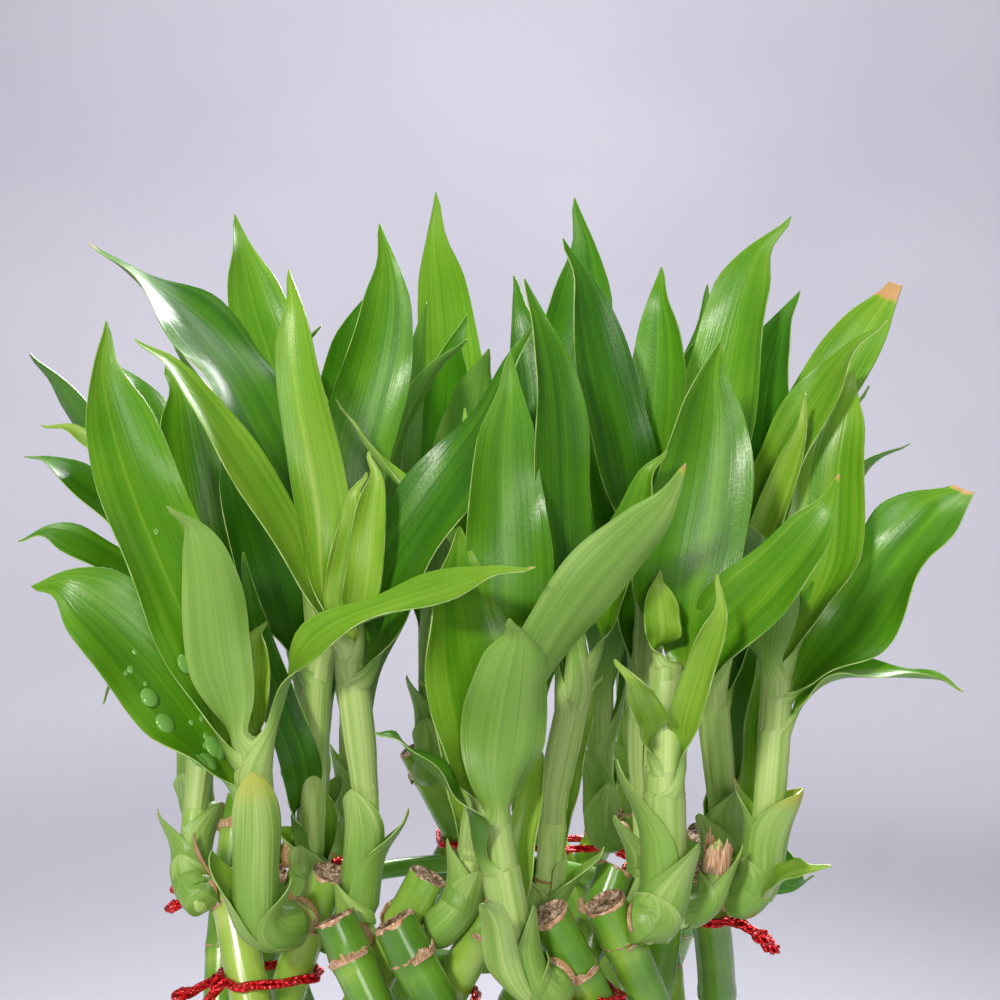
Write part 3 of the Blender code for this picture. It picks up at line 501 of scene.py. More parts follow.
def node(tree, kind, inputs=None, give=0, stops=(), **settings):
    """Adds a shader node with its settings, input values, links and colour stops, and gives one of its outputs."""
    made = tree.nodes.new("ShaderNode" + kind)
    for name, value in settings.items():
        setattr(made, name, value)
    for key, value in (inputs or {}).items():
        if isinstance(value, bpy.types.NodeSocket):
            tree.links.new(value, made.inputs[key])
        else:
            made.inputs[key].default_value = value
    for _ in stops[2:]:
        made.color_ramp.elements.new(0.5)
    for number, (place, colour) in enumerate(stops):
        made.color_ramp.elements[number].position = place
        made.color_ramp.elements[number].color = srgb(colour)
    return made.outputs[give]


def new_material(name, **values):
    """A Principled material with its uniform values on the shader's own sockets, and its node tree."""
    made = bpy.data.materials.new(name)
    made.use_nodes = True
    for key, value in values.items():
        made.node_tree.nodes["Principled BSDF"].inputs[key.replace("_", " ")].default_value = value
    return made, made.node_tree


def finished(made, height=None, depth=0.0, strength=1.0, **outputs):
    """Links a material's colour and gloss to its shader, with relief from a height, `depth` metres deep."""
    tree = made.node_tree
    if height:
        outputs["Normal"] = node(tree, "Bump", {"Height": height, "Distance": depth, "Strength": strength})
    for key, output in outputs.items():
        tree.links.new(output, tree.nodes["Principled BSDF"].inputs[key.replace("_", " ")])
    return made


def weigh(tree, base, *patterns):
    """A base level with patterns added, each times its share."""
    for pattern, share in patterns:
        base = node(tree, "Math", {0: pattern, 1: share, 2: base}, operation="MULTIPLY_ADD")
    return base


def overlaid(tree, below, pattern, low, high, above):
    """A colour laid over another where a pattern rises through a span."""
    share = node(tree, "MapRange", {0: pattern, 1: low, 2: high})
    return node(tree, "Mix", {0: share, 6: below, 7: above}, give=2, data_type="RGBA")


def mark_of(tree, name):
    """What a piece's corners carry under a name."""
    return node(tree, "Attribute", give="Fac", attribute_name=name)


def sheet_streaks(tree, across, along, detail=3.0):
    """Noise drawn out along a leaf or a cane, so many streaks across it; each piece has its own by its mark."""
    uv = node(tree, "UVMap", uv_map="UVMap")
    apart = node(tree, "CombineXYZ", {2: mark_of(tree, "mark")})
    spread = node(tree, "VectorMath", {0: uv, 1: (across, along, 0)}, operation="MULTIPLY")
    place = node(tree, "VectorMath", {0: spread, 1: apart})
    return node(tree, "TexNoise", {"Vector": place, "Scale": 1.0, "Detail": detail})


def object_noise(tree, size, detail=3.0):
    """Noise whose lumps measure `size` metres."""
    where = node(tree, "TexCoord", give="Object")
    return node(tree, "TexNoise", {"Vector": where, "Scale": 1 / size, "Detail": detail})


# ---------------------------------------------------------------- materials

LEAF_GREENS = [(0.0, "#163c06"), (0.3, "#31680c"), (0.55, "#548d14"), (0.8, "#82ab30"), (1.0, "#aec264")]
DRY_TAN = srgb("#c89b6c")


def leaf_upper():
    """Living dracaena leaf, upper side: a waxy cuticle over parallel veins, which gives a broken soft gloss over
    long fine streaks."""
    made, tree = new_material("dracaena_leaf_upper", IOR=1.42, Subsurface_Weight=0.12, Subsurface_Scale=0.0012,
                              Subsurface_Radius=(0.5, 1.0, 0.15))
    fine = sheet_streaks(tree, 22, 0.9, 4)      # veins about 1 mm apart on a 20 mm leaf
    broad = sheet_streaks(tree, 4.5, 1.1, 1)    # bands 4 to 5 mm wide
    grain = object_noise(tree, 0.0009, 2)
    level = weigh(tree, mark_of(tree, "tone"), (fine, 0.34), (broad, 0.40), (object_noise(tree, 0.014), 0.16),
                  (1, -0.45))
    green = node(tree, "ValToRGB", {0: level}, stops=LEAF_GREENS)
    ragged = weigh(tree, mark_of(tree, "dry"), (broad, 0.5))
    aged = overlaid(tree, green, ragged, 0.52, 0.74, srgb("#b0a83a"))
    colour = overlaid(tree, aged, ragged, 0.70, 0.86, DRY_TAN)
    gloss = node(tree, "MapRange", {0: grain, 3: 0.22, 4: 0.42})
    return finished(made, weigh(tree, fine, (grain, 0.35)), 0.00025, 0.5, Base_Color=colour, Roughness=gloss)


def leaf_under():
    """Living dracaena leaf, under side: paler, with the veins standing a little proud and a duller wax."""
    made, tree = new_material("dracaena_leaf_under", IOR=1.42, Subsurface_Weight=0.12, Subsurface_Scale=0.0012,
                              Subsurface_Radius=(0.5, 1.0, 0.2))
    fine = sheet_streaks(tree, 26, 0.8, 4)      # the same veins, which stand closer where the under side is seen
    broad = sheet_streaks(tree, 5, 1.2, 1)
    level = weigh(tree, mark_of(tree, "tone"), (fine, 0.36), (broad, 0.32), (1, -0.29))
    green = node(tree, "ValToRGB", {0: level},
                 stops=[(0.0, "#2e5a14"), (0.45, "#528129"), (0.78, "#7fa648"), (1.0, "#b8cf80")])
    dry = mark_of(tree, "dry")
    aged = overlaid(tree, green, dry, 0.1, 0.45, srgb("#b3b244"))
    colour = overlaid(tree, aged, dry, 0.5, 0.65, DRY_TAN)
    gloss = node(tree, "MapRange", {0: broad, 1: 0.3, 2: 0.7, 3: 0.32, 4: 0.5})
    return finished(made, fine, 0.00025, 0.6, Base_Color=colour, Roughness=gloss)


def leaf_margin():
    """The leaf's thin edge, where the green fades out: a pale line."""
    made, tree = new_material("dracaena_leaf_margin", Roughness=0.45)
    tint = node(tree, "ValToRGB", {0: object_noise(tree, 0.004)}, stops=[(0.3, "#6f9a36"), (0.7, "#a9c274")])
    return finished(made, Base_Color=tint)


def shoot_stem():
    """Young dracaena stem: smooth pale yellow-green rind with a thin tan ring where each old leaf came off."""
    made, tree = new_material("dracaena_stem", Roughness=0.38, IOR=1.45, Subsurface_Weight=0.15,
                              Subsurface_Scale=0.002, Subsurface_Radius=(0.6, 1.0, 0.2))
    streak = sheet_streaks(tree, 9, 5)
    green = node(tree, "ValToRGB", {0: streak}, stops=[(0.3, "#8ab250"), (0.5, "#b3d270"), (0.7, "#cfe196")])
    torn = weigh(tree, mark_of(tree, "scar"), (object_noise(tree, 0.0016), 0.9))
    return finished(made, streak, 0.0002, 0.5, Base_Color=overlaid(tree, green, torn, 0.85, 1.05, srgb("#a98552")))


def cane_skin():
    """Green dracaena cane: a hard smooth rind with a wet-looking gloss, waxy bands under the joints, fine lengthwise
    lines, and tan bark left round each joint and at the cut."""
    made, tree = new_material("dracaena_cane_skin", IOR=1.48, Coat_Weight=0.35, Coat_Roughness=0.12)
    line = sheet_streaks(tree, 16, 3, 4)        # lines about 2 mm apart round an 11 mm cane
    fleck = object_noise(tree, 0.0017, 4)
    level = weigh(tree, mark_of(tree, "tone"), (line, 0.30), (object_noise(tree, 0.011), 0.55), (1, -0.42))
    green = node(tree, "ValToRGB", {0: level},
                 stops=[(0.0, "#3d6f18"), (0.35, "#67992c"), (0.65, "#9abb4c"), (1.0, "#cdd884")])
    torn = weigh(tree, mark_of(tree, "scar"), (fleck, 0.9))
    bark = node(tree, "MapRange", {0: torn, 1: 0.86, 2: 1.0})
    tan = node(tree, "ValToRGB", {0: fleck}, stops=[(0.3, "#8a6042"), (0.5, "#bb8e6a"), (0.7, "#dcc0a4")])
    colour = node(tree, "Mix", {0: bark, 6: green, 7: tan}, give=2, data_type="RGBA")
    gloss = node(tree, "MapRange", {0: bark, 3: 0.26, 4: 0.75})
    return finished(made, weigh(tree, line, (bark, 0.8)), 0.0003, 0.7, Base_Color=colour, Roughness=gloss)


def cut_pith():
    """Sawn end of a cane, dried: fibrous tan pith with dark pits, rough and without gloss."""
    made, tree = new_material("dried_cut_pith", Roughness=0.85)
    where = node(tree, "TexCoord", give="Object")
    fibres = node(tree, "TexVoronoi", {"Vector": where, "Scale": 1 / 0.0009})
    mixed = weigh(tree, object_noise(tree, 0.0028, 5), (fibres, -0.45))
    level = node(tree, "MapRange", {0: mixed, 1: -0.05, 2: 0.55})
    colour = node(tree, "ValToRGB", {0: level},
                  stops=[(0.0, "#2c1d14"), (0.32, "#6b4f3b"), (0.6, "#a1836a"), (1.0, "#dac7b0")])
    return finished(made, mixed, 0.0009, Base_Color=colour)


def papery_bark():
    """Dead leaf base left on the cane: thin dry skin, tan to orange-brown, with fine lengthwise fibres."""
    made, tree = new_material("papery_leaf_base", Roughness=0.7, Subsurface_Weight=0.2, Subsurface_Scale=0.001,
                              Subsurface_Radius=(1.0, 0.6, 0.3))
    fibre = sheet_streaks(tree, 60, 2)
    colour = node(tree, "ValToRGB", {0: fibre},
                  stops=[(0.25, "#8a5c3c"), (0.45, "#bd8e69"), (0.6, "#d5b394"), (0.8, "#ead8c2")])
    return finished(made, fibre, 0.0004, Base_Color=colour)


def red_foil():
    """Metallised plastic film, twisted into wire: red mirror gloss broken by creases."""
    made, tree = new_material("red_foil_film", Metallic=0.8, Roughness=0.18)
    crease = object_noise(tree, 0.0011, 2)
    colour = node(tree, "ValToRGB", {0: crease}, stops=[(0.3, "#9a0c18"), (0.5, "#da1a26"), (0.7, "#f45a54")])
    return finished(made, crease, 0.0009, Base_Color=colour)


def hoop_plastic():
    """Soft green PVC sleeve over the hoop wire: even colour, smooth extruded gloss, faint length marks."""
    made, tree = new_material("green_pvc_sleeve", Roughness=0.3, IOR=1.53, Coat_Weight=0.2)
    colour = node(tree, "ValToRGB", {0: object_noise(tree, 0.02, 2)}, stops=[(0.3, "#62a02a"), (0.7, "#86bb48")])
    return finished(made, object_noise(tree, 0.0016), 0.00008, Base_Color=colour)


def white_glaze():
    """Stoneware under a white glaze, fired: deep gloss over a slightly uneven skin with a few iron specks."""
    made, tree = new_material("white_stoneware_glaze", Roughness=0.12, IOR=1.52, Coat_Weight=0.4, Coat_Roughness=0.05)
    body = node(tree, "ValToRGB", {0: object_noise(tree, 0.03, 2)}, stops=[(0.3, "#cfc9bb"), (0.7, "#dcd7cc")])
    colour = overlaid(tree, body, object_noise(tree, 0.0014, 1), 0.74, 0.80, srgb("#8d7a62"))
    return finished(made, object_noise(tree, 0.006, 2), 0.0003, 0.4, Base_Color=colour)


def river_pebble():
    """Tumbled river pebbles: pale limestone and quartz, each its own tint, with mineral mottling and a dull sheen."""
    made, tree = new_material("tumbled_river_pebble", Roughness=0.48, IOR=1.5)
    mottle = object_noise(tree, 0.003, 5)
    colour = node(tree, "ValToRGB", {0: weigh(tree, mark_of(tree, "tone"), (mottle, 0.35))},
                  stops=[(0.1, "#7d7468"), (0.45, "#b3a791"), (0.75, "#d6cdbb"), (1.0, "#efeae0")])
    return finished(made, mottle, 0.0004, Base_Color=colour)


def pebble_shadow():
    """The bed seen between the loose pebbles: the same stone, grey and deep in shade."""
    made, tree = new_material("packed_pebble_bed", Roughness=0.8)
    stones = object_noise(tree, 0.006, 4)
    colour = node(tree, "ValToRGB", {0: stones}, stops=[(0.3, "#4a4339"), (0.7, "#8a7f6d")])
    return finished(made, stones, 0.003, Base_Color=colour)


def water_drop():
    """A water drop on a leaf: an opaque mirror-smooth dome whose colour is the leaf's green, painted in where clear
    water would let the leaf below show through.
    """
    # the base colour is painted see-through: the green of the leaf under the drop
    return new_material("water_drop", Roughness=0.02, IOR=1.33, Coat_Weight=1.0, Coat_Roughness=0.02,
                        Base_Color=srgb("#6ea548"))[0]


def matt_backdrop():
    """Matt painted studio sweep: pale grey with a touch of lilac in soft patches that are painted shade, and darker
    underfoot as painted shade on the floor, which the lamps light more than the wall.
    """
    made, tree = new_material("matt_backdrop_paint", Roughness=0.95)
    # soft patches a little lighter and darker: painted soft shade on the wall
    tint = node(tree, "ValToRGB", {0: object_noise(tree, 0.8, 2)}, stops=[(0.35, "#cfced8"), (0.65, "#d8d7e0")])
    # darker from the bend forwards: painted shade on the floor, which the lamps would light brighter than the wall
    behind = node(tree, "SeparateXYZ", {0: node(tree, "TexCoord", give="Object")}, give="Y")
    return finished(made, Base_Color=overlaid(tree, srgb("#a5a4ad"), behind, 0.2, 1.1, tint))


# What each sort of part is finished in.
finish = {
    "leaf": [leaf_upper(), leaf_under(), leaf_margin()],
    "stem": [shoot_stem()],
    "cane": [cane_skin(), cut_pith()],
    "papery": [papery_bark()],
    "foil": [red_foil()],
    "hoop": [hoop_plastic()],
    "glaze": [white_glaze()],
    "pebble": [river_pebble()],
    "drop": [water_drop()],
}


# ---------------------------------------------------------------- sheets, sleeves and pieces

blanks = {}


def only(made):
    """Selects one object and makes it active."""
    bpy.ops.object.select_all(action="DESELECT")
    made.select_set(True)
    bpy.context.view_layer.objects.active = made


def primitive(add, **settings):
    """Adds a primitive of Blender's, moved by its vertices so that it stays at the origin."""
    bpy.ops.object.select_all(action="DESELECT")
    add(**settings)
    bpy.ops.object.transform_apply(location=True)
    return bpy.context.object


def blank(across, along):
    """A flat unit sheet of quads, modelled once for each number of faces."""
    if (across, along) not in blanks:
        sheet = primitive(bpy.ops.mesh.primitive_grid_add, x_subdivisions=across, y_subdivisions=along, size=1,
                          location=(0.5, 0.5, 0))
        blanks[across, along] = sheet.data.copy()
        bpy.data.objects.remove(sheet)
    return blanks[across, along]


def shaped(name, across, along, place, marks, look):
    """A blank with each corner moved to place(u, v) in millimetres, and its marks kept as attributes."""
    data = blank(across, along).copy()
    data.name = name
    spots = [(round(v.co.x, 5), round(v.co.y, 5)) for v in data.vertices]
    for vert, (u, v) in zip(data.vertices, spots):
        vert.co = place(u, v) * MM
    for mark in ("tone", "dry", "scar", "mark"):
        values = marks.get(mark, 0.0)
        layer = data.attributes.new(mark, "FLOAT", "POINT")
        layer.data.foreach_set("value", [values(u, v) if callable(values) else values for u, v in spots])
    for material in finish[look]:
        data.materials.append(material)
    made = bpy.data.objects.new(name, data)
    bpy.context.scene.collection.objects.link(made)
    return made


def close_sleeve(made):
    """Welds a rolled sheet along its seam and at its ends, and turns its faces outwards."""
    only(made)
    bpy.ops.object.mode_set(mode="EDIT")
    bpy.ops.mesh.select_all(action="SELECT")
    bpy.ops.mesh.remove_doubles(threshold=0.000002)
    bpy.ops.mesh.normals_make_consistent(inside=False)
    bpy.ops.object.mode_set(mode="OBJECT")
    return made


def apply_modifier(made, kind, **settings):
    """Adds a modifier with its settings and applies it."""
    only(made)
    modifier = made.modifiers.new(kind.title(), kind)
    for name, value in settings.items():
        setattr(modifier, name, value)
    bpy.ops.object.modifier_apply(modifier=modifier.name)
    return made


def leaf_sheet(name, across, along, place, marks):
    """A living leaf's thin sheet, with a paler under side and a pale margin."""
    return apply_modifier(shaped(name, across, along, place, marks, "leaf"), "SOLIDIFY",
                          thickness=BLADE_THICK * MM, offset=-1, material_offset=1, material_offset_rim=2)


def dry_sheet(name, across, along, place, mark, thick=0.25):
    """A scrap of dead papery skin."""
    return apply_modifier(shaped(name, across, along, place, {"mark": mark}, "papery"), "SOLIDIFY",
                          thickness=thick * MM, offset=0)


def finish_piece(parts, name, slot, *nodes):
    """Joins the parts of one piece, smooths it, hangs it on the root body and hides its CAD nodes in its place."""
    only(parts[0])
    for part in parts[1:]:
        part.select_set(True)
    if len(parts) > 1:
        bpy.ops.object.join()
    piece = parts[0]
    bpy.ops.object.shade_smooth_by_angle(angle=radians(42))
    piece.name = piece.data.name = name
    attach(piece, "root")
    if nodes:
        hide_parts(*nodes)
    return piece


# ---------------------------------------------------------------- leaves

LEAF_ACROSS = 12
LEAF_ALONG = 46
SHEATH_SHARE = 0.24     # of the sheet's length that wraps the stem
SHEATH_LENGTH = 24.0
SHEATH_WRAP = 2.35      # half the angle that a sheath wraps
SHEATH_GAP = 0.17       # between one sheath and the next
BLADE_THICK = 0.32

BRACT_WIDTH = 9.5       # a leaf narrower than this is still a bract
STEM_POINTS = 73

def visual_half_width(leaf, t):
    """The blade's half width on the leaf itself: fuller at the neck than its CAD body, finer at the tip."""
    t *= leaf.trim
    neck = 0.34 + 0.72 * smooth((t - 0.03) / 0.40)
    taper = 1 - (max(2 * t - 0.95, 0) / 1.05) ** 2.1
    drip = 1 - 0.42 * smooth((t - 0.80) / 0.14)
    return 0.5 * leaf.width * neck * max(taper, 0.0) ** 0.85 * drip + 0.10 + 0.15 * smooth((1 - t) / 0.1)


def path_at(path, place):
    """A point and a direction on a stem's centre line; place counts its points."""
    place = min(max(place, 0.0), len(path) - 1.001)
    k = int(place)
    low, high = max(place - 0.5, 0), min(place + 0.5, len(path) - 1.001)
    ends = [path[int(p)].lerp(path[int(p) + 1], p - int(p)) for p in (low, high)]
    return path[k].lerp(path[k + 1], place - k), (ends[1] - ends[0]).normalized()


def measured(path):
    """A stem's centre line as points a millimetre apart, so that a place on it counts millimetres."""
    fine = through(path, STEM_POINTS)
    spots, run = [fine[0]], 0.0
    for a, b in zip(fine, fine[1:]):
        step = (b - a).length
        while len(spots) <= run + step:
            spots.append(a.lerp(b, (len(spots) - run) / step))
        run += step
    return spots


def leaf_rows(path, radius, leaf, curve, rank, twist, sway):
    """Sections of a leaf from the foot of its sheath to its tip: midrib, across, upper, half width, half angle."""
    start = leaf.start * (len(path) - 1)
    spacing = (path[-1] - path[3]).length / (len(path) - 4)
    foot = max(start - SHEATH_LENGTH / spacing, 0.9)
    out = flat(curve[3] - curve[0])
    stem = stem_radius(radius, leaf.start)
    wrap_radius = stem + SHEATH_GAP * (1 + rank)
    fold = leaf.fold or (0.9 if leaf.width < BRACT_WIDTH else 0.5)
    rows = []
    for j in range(LEAF_ALONG + 1):
        share = j / LEAF_ALONG
        if share < SHEATH_SHARE:
            s = share / SHEATH_SHARE
            centre, along = path_at(path, foot + (start - foot) * s)
            upper = square_to(-out, along)
            wide = stem + (wrap_radius - stem) * smooth(s / 0.6)
            rows.append((centre - upper * wide, along.cross(upper), upper, wide * SHEATH_WRAP, SHEATH_WRAP))
            continue
        t = blade_share(share)
        along, upper = blade_frame(curve, leaf, t)
        upper = Matrix.Rotation(twist * smooth((t - 0.3) / 0.7), 3, along) @ upper
        opening = 1 - smooth(t / 0.15)
        half = visual_half_width(leaf, t)
        half += (wrap_radius * SHEATH_WRAP - half) * opening ** 1.5
        angle = fold + (SHEATH_WRAP - fold) * (1 - smooth(t / 0.24)) ** 1.4
        midrib = bezier(curve, t) - upper * (wrap_radius * (1 - smooth(t / 0.5)))
        across = along.cross(upper)
        midrib += (across * sway[0] + upper * sway[1]) * (sin(2 * pi * (t - 0.12) / 0.88) * smooth((t - 0.12) / 0.3)
                                                          if t > 0.12 else 0.0)
        midrib -= (upper * 3.2 + across * sway[2]) * smooth((t - 0.84) / 0.16) ** 2
        midrib += upper * leaf.over * smooth((t - 0.2) / 0.3)
        rows.append((midrib, across, upper, half, angle))
    return rows


def blade_share(v):
    """How far along the blade a place on the sheet is; below 0 on its sheath."""
    return (v - SHEATH_SHARE) / (1 - SHEATH_SHARE)


def leaf_point(rows, u, v, wave, phase):
    """A point of a leaf's upper side; u runs from -1 to 1 across it."""
    j = v * (len(rows) - 1)
    k = min(int(j), len(rows) - 2)
    f = j - k
    midrib, across, upper, half, angle = [a + (b - a) * f for a, b in zip(rows[k], rows[k + 1])]
    bend = half / angle
    t = max(blade_share(v), 0)
    ripple = wave * half * abs(u) ** 2.2 * smooth(t / 0.3) * (1 - 0.5 * smooth((t - 0.8) / 0.2))
    ripple *= sin(2 * pi * (2.6 * t + phase + (0.35 if u > 0 else 0.0)))
    return midrib + across * (bend * sin(angle * u)) + upper * (bend * (1 - cos(angle * u)) + ripple)


def make_leaf(name, path, shoot, leaf, curve, rank):
    """One leaf with its sheath: a thin sheet with a paler under side and a pale margin."""
    rule = Random(name)
    tone = leaf.tone or (0.78 if leaf.width < BRACT_WIDTH else rule.uniform(0.30, 0.56))
    length = (curve[3] - curve[0]).length
    sway = [rule.uniform(-0.026, 0.026) * length, rule.uniform(-0.03, 0.03) * length, rule.uniform(-4.5, 4.5)]
    rows = leaf_rows(path, shoot.radius, leaf, curve, rank, rule.uniform(-0.5, 0.5), sway)
    wave, phase = leaf.wave * rule.uniform(0.10, 0.26), rule.random()

    def blade_tone(u, v):
        t = blade_share(v)
        return tone + (0.86 - tone) * (1 - smooth(t / 0.28)) + 0.10 * smooth((t - 0.75) / 0.25)

    made = leaf_sheet(name, LEAF_ACROSS, LEAF_ALONG, lambda u, v: leaf_point(rows, 2 * u - 1, v, wave, phase),
                      {"tone": blade_tone, "dry": lambda u, v: smooth((blade_share(v) - leaf.dry + 0.03) / 0.05),
                       "mark": rule.uniform(0, 90)})
    return made, rows


# A bract wraps a stem from `low` to `high` millimetres along it. `turn` is the way its back faces, 0 to the front
# and 90 to the right; `peel` is how far its tip stands off the stem; `wide` is its half width by the stem's radius,
# `blunt` how late it narrows, `age` how yellow its tip is.
Bract = namedtuple("Bract", "low high turn peel wide blunt age", defaults=(2.1, 2.2, 0.0))
BRACTS = {
    "inner_02": [Bract(7, 54, 12, 2.6, 1.2, 6.0, 0.34), Bract(4, 27, 95, 3.0), Bract(3, 33, -105, 6.0, 1.8)],
    "outer_04": [Bract(2, 17, 110, 1.2), Bract(8, 30, 70, 1.0, 1.5)],
    "outer_05": [Bract(7, 45, -80, 6.5, 1.9), Bract(2, 25, 60, 2.6, 2.3), Bract(1, 12, -30, 0.8, 2.2)],
    "outer_06": [Bract(2, 17, -50, 1.0), Bract(12, 37, -110, 4.0, 1.6, 2.4, 0.5),
                 Bract(6, 36, 85, 3.4, 1.9, 9.0, 0.4)],
    "outer_02": [Bract(14, 42, -25, 1.0, 2.2), Bract(8, 36, 80, 6.0, 1.8), Bract(2, 16, -60, 1.0)],
    "inner_03": [Bract(2, 22, 20, 0.8, 2.3), Bract(10, 28, -80, 1.6, 2.0)],
    "inner_04": [Bract(2, 16, -20, 0.8, 2.3), Bract(3, 28, 85, 8.0, 1.7), Bract(2, 24, -85, 3.0, 1.7)],
    "inner_05": [Bract(2, 15, 10, 1.0, 2.2), Bract(8, 30, -70, 3.4, 1.8), Bract(14, 34, 70, 1.6, 1.8, 2.2, 0.9)],
    "inner_06": [Bract(2, 18, 60, 2.2), Bract(6, 28, -60, 2.0), Bract(14, 34, 30, 1.6)],
    "outer_01": [Bract(2, 16, -20, 1.2), Bract(6, 30, -80, 5.0, 1.8), Bract(10, 32, 70, 2.0)],
}
BRACT_ACROSS = 12
BRACT_ALONG = 20


def bracts_of(shoot, rule):
    """A shoot's own bracts, or three that alternate round its foot."""
    return BRACTS.get(shoot.stalk) or [
        Bract(2 + 5 * k, 2 + 5 * k + rule.uniform(16, 26), 150 * k + rule.uniform(-40, 40), rule.uniform(1, 5),
              rule.uniform(1.7, 2.2)) for k in range(3)]


def make_bract(name, path, radius, bract, rank):
    """A boat-shaped bract that hugs the stem and lets its tip stand off."""
    rule = Random(name)
    line = measured(path)
    rows, out = [], ring_point(1, bract.turn, 0)
    for j in reversed(range(BRACT_ALONG + 1)):
        s = j / BRACT_ALONG
        place = bract.low + (bract.high - bract.low) * s
        centre, along = path_at(line, place)
        out = square_to(out, along)
        hug = stem_radius(radius, min(place / len(line), 1)) + SHEATH_GAP * (2 + rank) * smooth(s / 0.1)
        reach = hug + bract.peel * smooth((s - 0.3) / 0.7) ** 2
        half = hug * bract.wide * (1 + 0.06 * bract.blunt * s) * max(1 - s ** bract.blunt, 0.0) ** 0.8 + 0.12
        rows.insert(0, (centre, along, out, reach, min(half / reach, 2.6)))
    side_bow = rule.uniform(-0.8, 0.8)

    def place_on(u, v):
        centre, along, out, reach, angle = rows[round(v * BRACT_ALONG)]
        side = along.cross(-out)
        return centre + turned(out, side, angle * (2 * u - 1)) * reach + side * (side_bow * v ** 3)

    return leaf_sheet(name, BRACT_ACROSS, BRACT_ALONG, place_on,
                      {"tone": lambda u, v: 0.62 + 0.2 * v, "mark": rule.uniform(0, 90),
                       "dry": lambda u, v: bract.age * smooth((v - 0.72) / 0.25)})


DROP_SPOTS = {("inner_02", 1): 9, ("inner_02", 2): 21}


def make_drops(rows, count):
    """Water drops standing on a leaf's upper side: domes of a few sizes, flatter as they grow."""
    rule = Random(count)
    drops = []
    for number in range(count):
        u, v = rule.uniform(-0.75, 0.75), SHEATH_SHARE + (1 - SHEATH_SHARE) * rule.uniform(0.22, 0.62)
        spot = leaf_point(rows, u, v, 0, 0)
        slope = (leaf_point(rows, u + 0.05, v, 0, 0) - leaf_point(rows, u - 0.05, v, 0, 0)).normalized()
        along = (leaf_point(rows, u, v + 0.01, 0, 0) - leaf_point(rows, u, v - 0.01, 0, 0)).normalized()
        normal = slope.cross(along).normalized()
        size = rule.uniform(0.5, 1.0) if number % 4 else rule.uniform(1.6, 2.6)
        drop = primitive(bpy.ops.mesh.primitive_uv_sphere_add, segments=16, ring_count=10, radius=1)
        for vert in drop.data.vertices:
            x, y, z = vert.co
            vert.co = (spot + (slope * x + along * y * 1.15) * size + normal * (z * size * 0.36)) * MM
        drop.data.materials.append(finish["drop"][0])
        drops.append(drop)
    return drops


# ---------------------------------------------------------------- stems and canes

TUBE_SIDES = 20


def tube(name, path, radii, marks, look, sides=TUBE_SIDES):
    """A round sleeve along a path, with a radius for each point; radii near nothing close its ends."""
    frames = across_frame(path)
    last = len(path) - 1

    def place(u, v):
        j = round(v * last)
        return path[j] + turned(*frames[j][1:], 2 * pi * u) * radii[j]

    return close_sleeve(shaped(name, sides, last, place, marks, look))


def make_stem(name, path, radius):
    """A shoot's stem: a swollen foot, ring scars along it, and a closed top inside the last sheaths."""
    rule = Random(name)
    fine = through(path, STEM_POINTS)
    reach = [0.0]
    for a, b in zip(fine, fine[1:]):
        reach.append(reach[-1] + (b - a).length)
    total = reach[-1]
    scars = [3.2]
    while scars[-1] < total * 0.8:
        scars.append(scars[-1] + rule.uniform(9, 17))
    radii, marks = [], []
    for here in reach:
        nearest = min(abs(here - s) for s in scars)
        swell = 0.28 * exp(-(nearest / 0.9) ** 2)
        flare = 0.7 * exp(-here / 2.2)
        base = stem_radius(radius, here / total) * 0.94
        radii.append(max(base + swell + flare, 0.05) * (1 - smooth((here / total - 0.78) / 0.08)) + 0.02)
        marks.append(exp(-(nearest / 0.45) ** 2) * 0.72 + exp(-here / 1.3))
    fine = [fine[0] - (fine[1] - fine[0]).normalized() * 1.6] + fine
    radii = [0.02] + radii
    marks = [1.0] + marks
    last = len(fine) - 1
    return tube(name, fine, radii, {"scar": lambda u, v: marks[round(v * last)], "mark": rule.uniform(0, 90)},
                "stem")


def make_foot_ring(name, path, radius, low=0.5, tall=1.9):
    """Dry torn skin round a stem: where a shoot breaks out of its cane, or the end of a dead one."""
    seed = Random(name).uniform(0, 50)
    line = measured(path)
    frames = across_frame(line)

    def place(u, v):
        angle = 2 * pi * u
        around = Vector((cos(angle), sin(angle), 0))
        torn = 0.75 + 0.6 * noise.noise(around * 1.3 + UP * seed) + 0.35 * noise.noise(around * 4.0 + UP * seed)
        at = low + tall * v * torn
        centre, along = path_at(line, at)
        side = square_to(frames[min(int(at), len(frames) - 1)][1], along)
        reach = radius + 0.30 + 0.35 * v * noise.noise(around * 2.2 + UP * (seed + 7))
        return centre + turned(side, along.cross(side), angle) * reach

    return dry_sheet(name, 36, 4, place, seed)


# A side shoot that was cut off: its stem stands beside the shoot it grew from and ends in dead papery skin.
STUB = [(47, -59, 204), (56, -53, 203), (62, -49, 206), (64, -47, 214), (65, -46.5, 226)]
STUB_RADIUS = 3.5


def make_stub():
    """The cut side shoot: its stem, the papery skin at its end and two bracts."""
    path = through([Vector(p) for p in STUB], 10)
    return [make_stem("cut_stub", path, STUB_RADIUS),
            make_foot_ring("stub_end", path, STUB_RADIUS - 0.3, 25.0, 10.0),
            make_bract("stub_bract_0", path, STUB_RADIUS, Bract(9, 33, 80, 2.6, 2.0, 2.2, 0.4), 0),
            make_bract("stub_bract_1", path, STUB_RADIUS, Bract(7, 25, -70, 0.8, 2.2), 1)]


def make_spike(name, stalk, turn, tip):
    """A pointed scrap of dead leaf base that stands up from a cane's cut."""
    base, axis = stalk_frame(stalk, stalk.top - 1.0)[:2]

    def place(u, v):
        angle = turn + (u - 0.5) * 1.5
        outward = square_to(Vector((sin(angle), -cos(angle), 0)), axis)
        foot = base + outward * (stalk.radius + 0.2)
        return foot.lerp(Vector(tip), v ** 0.85) + outward * (1.2 * sin(pi * v))

    return dry_sheet(name, 10, 8, place, turn)


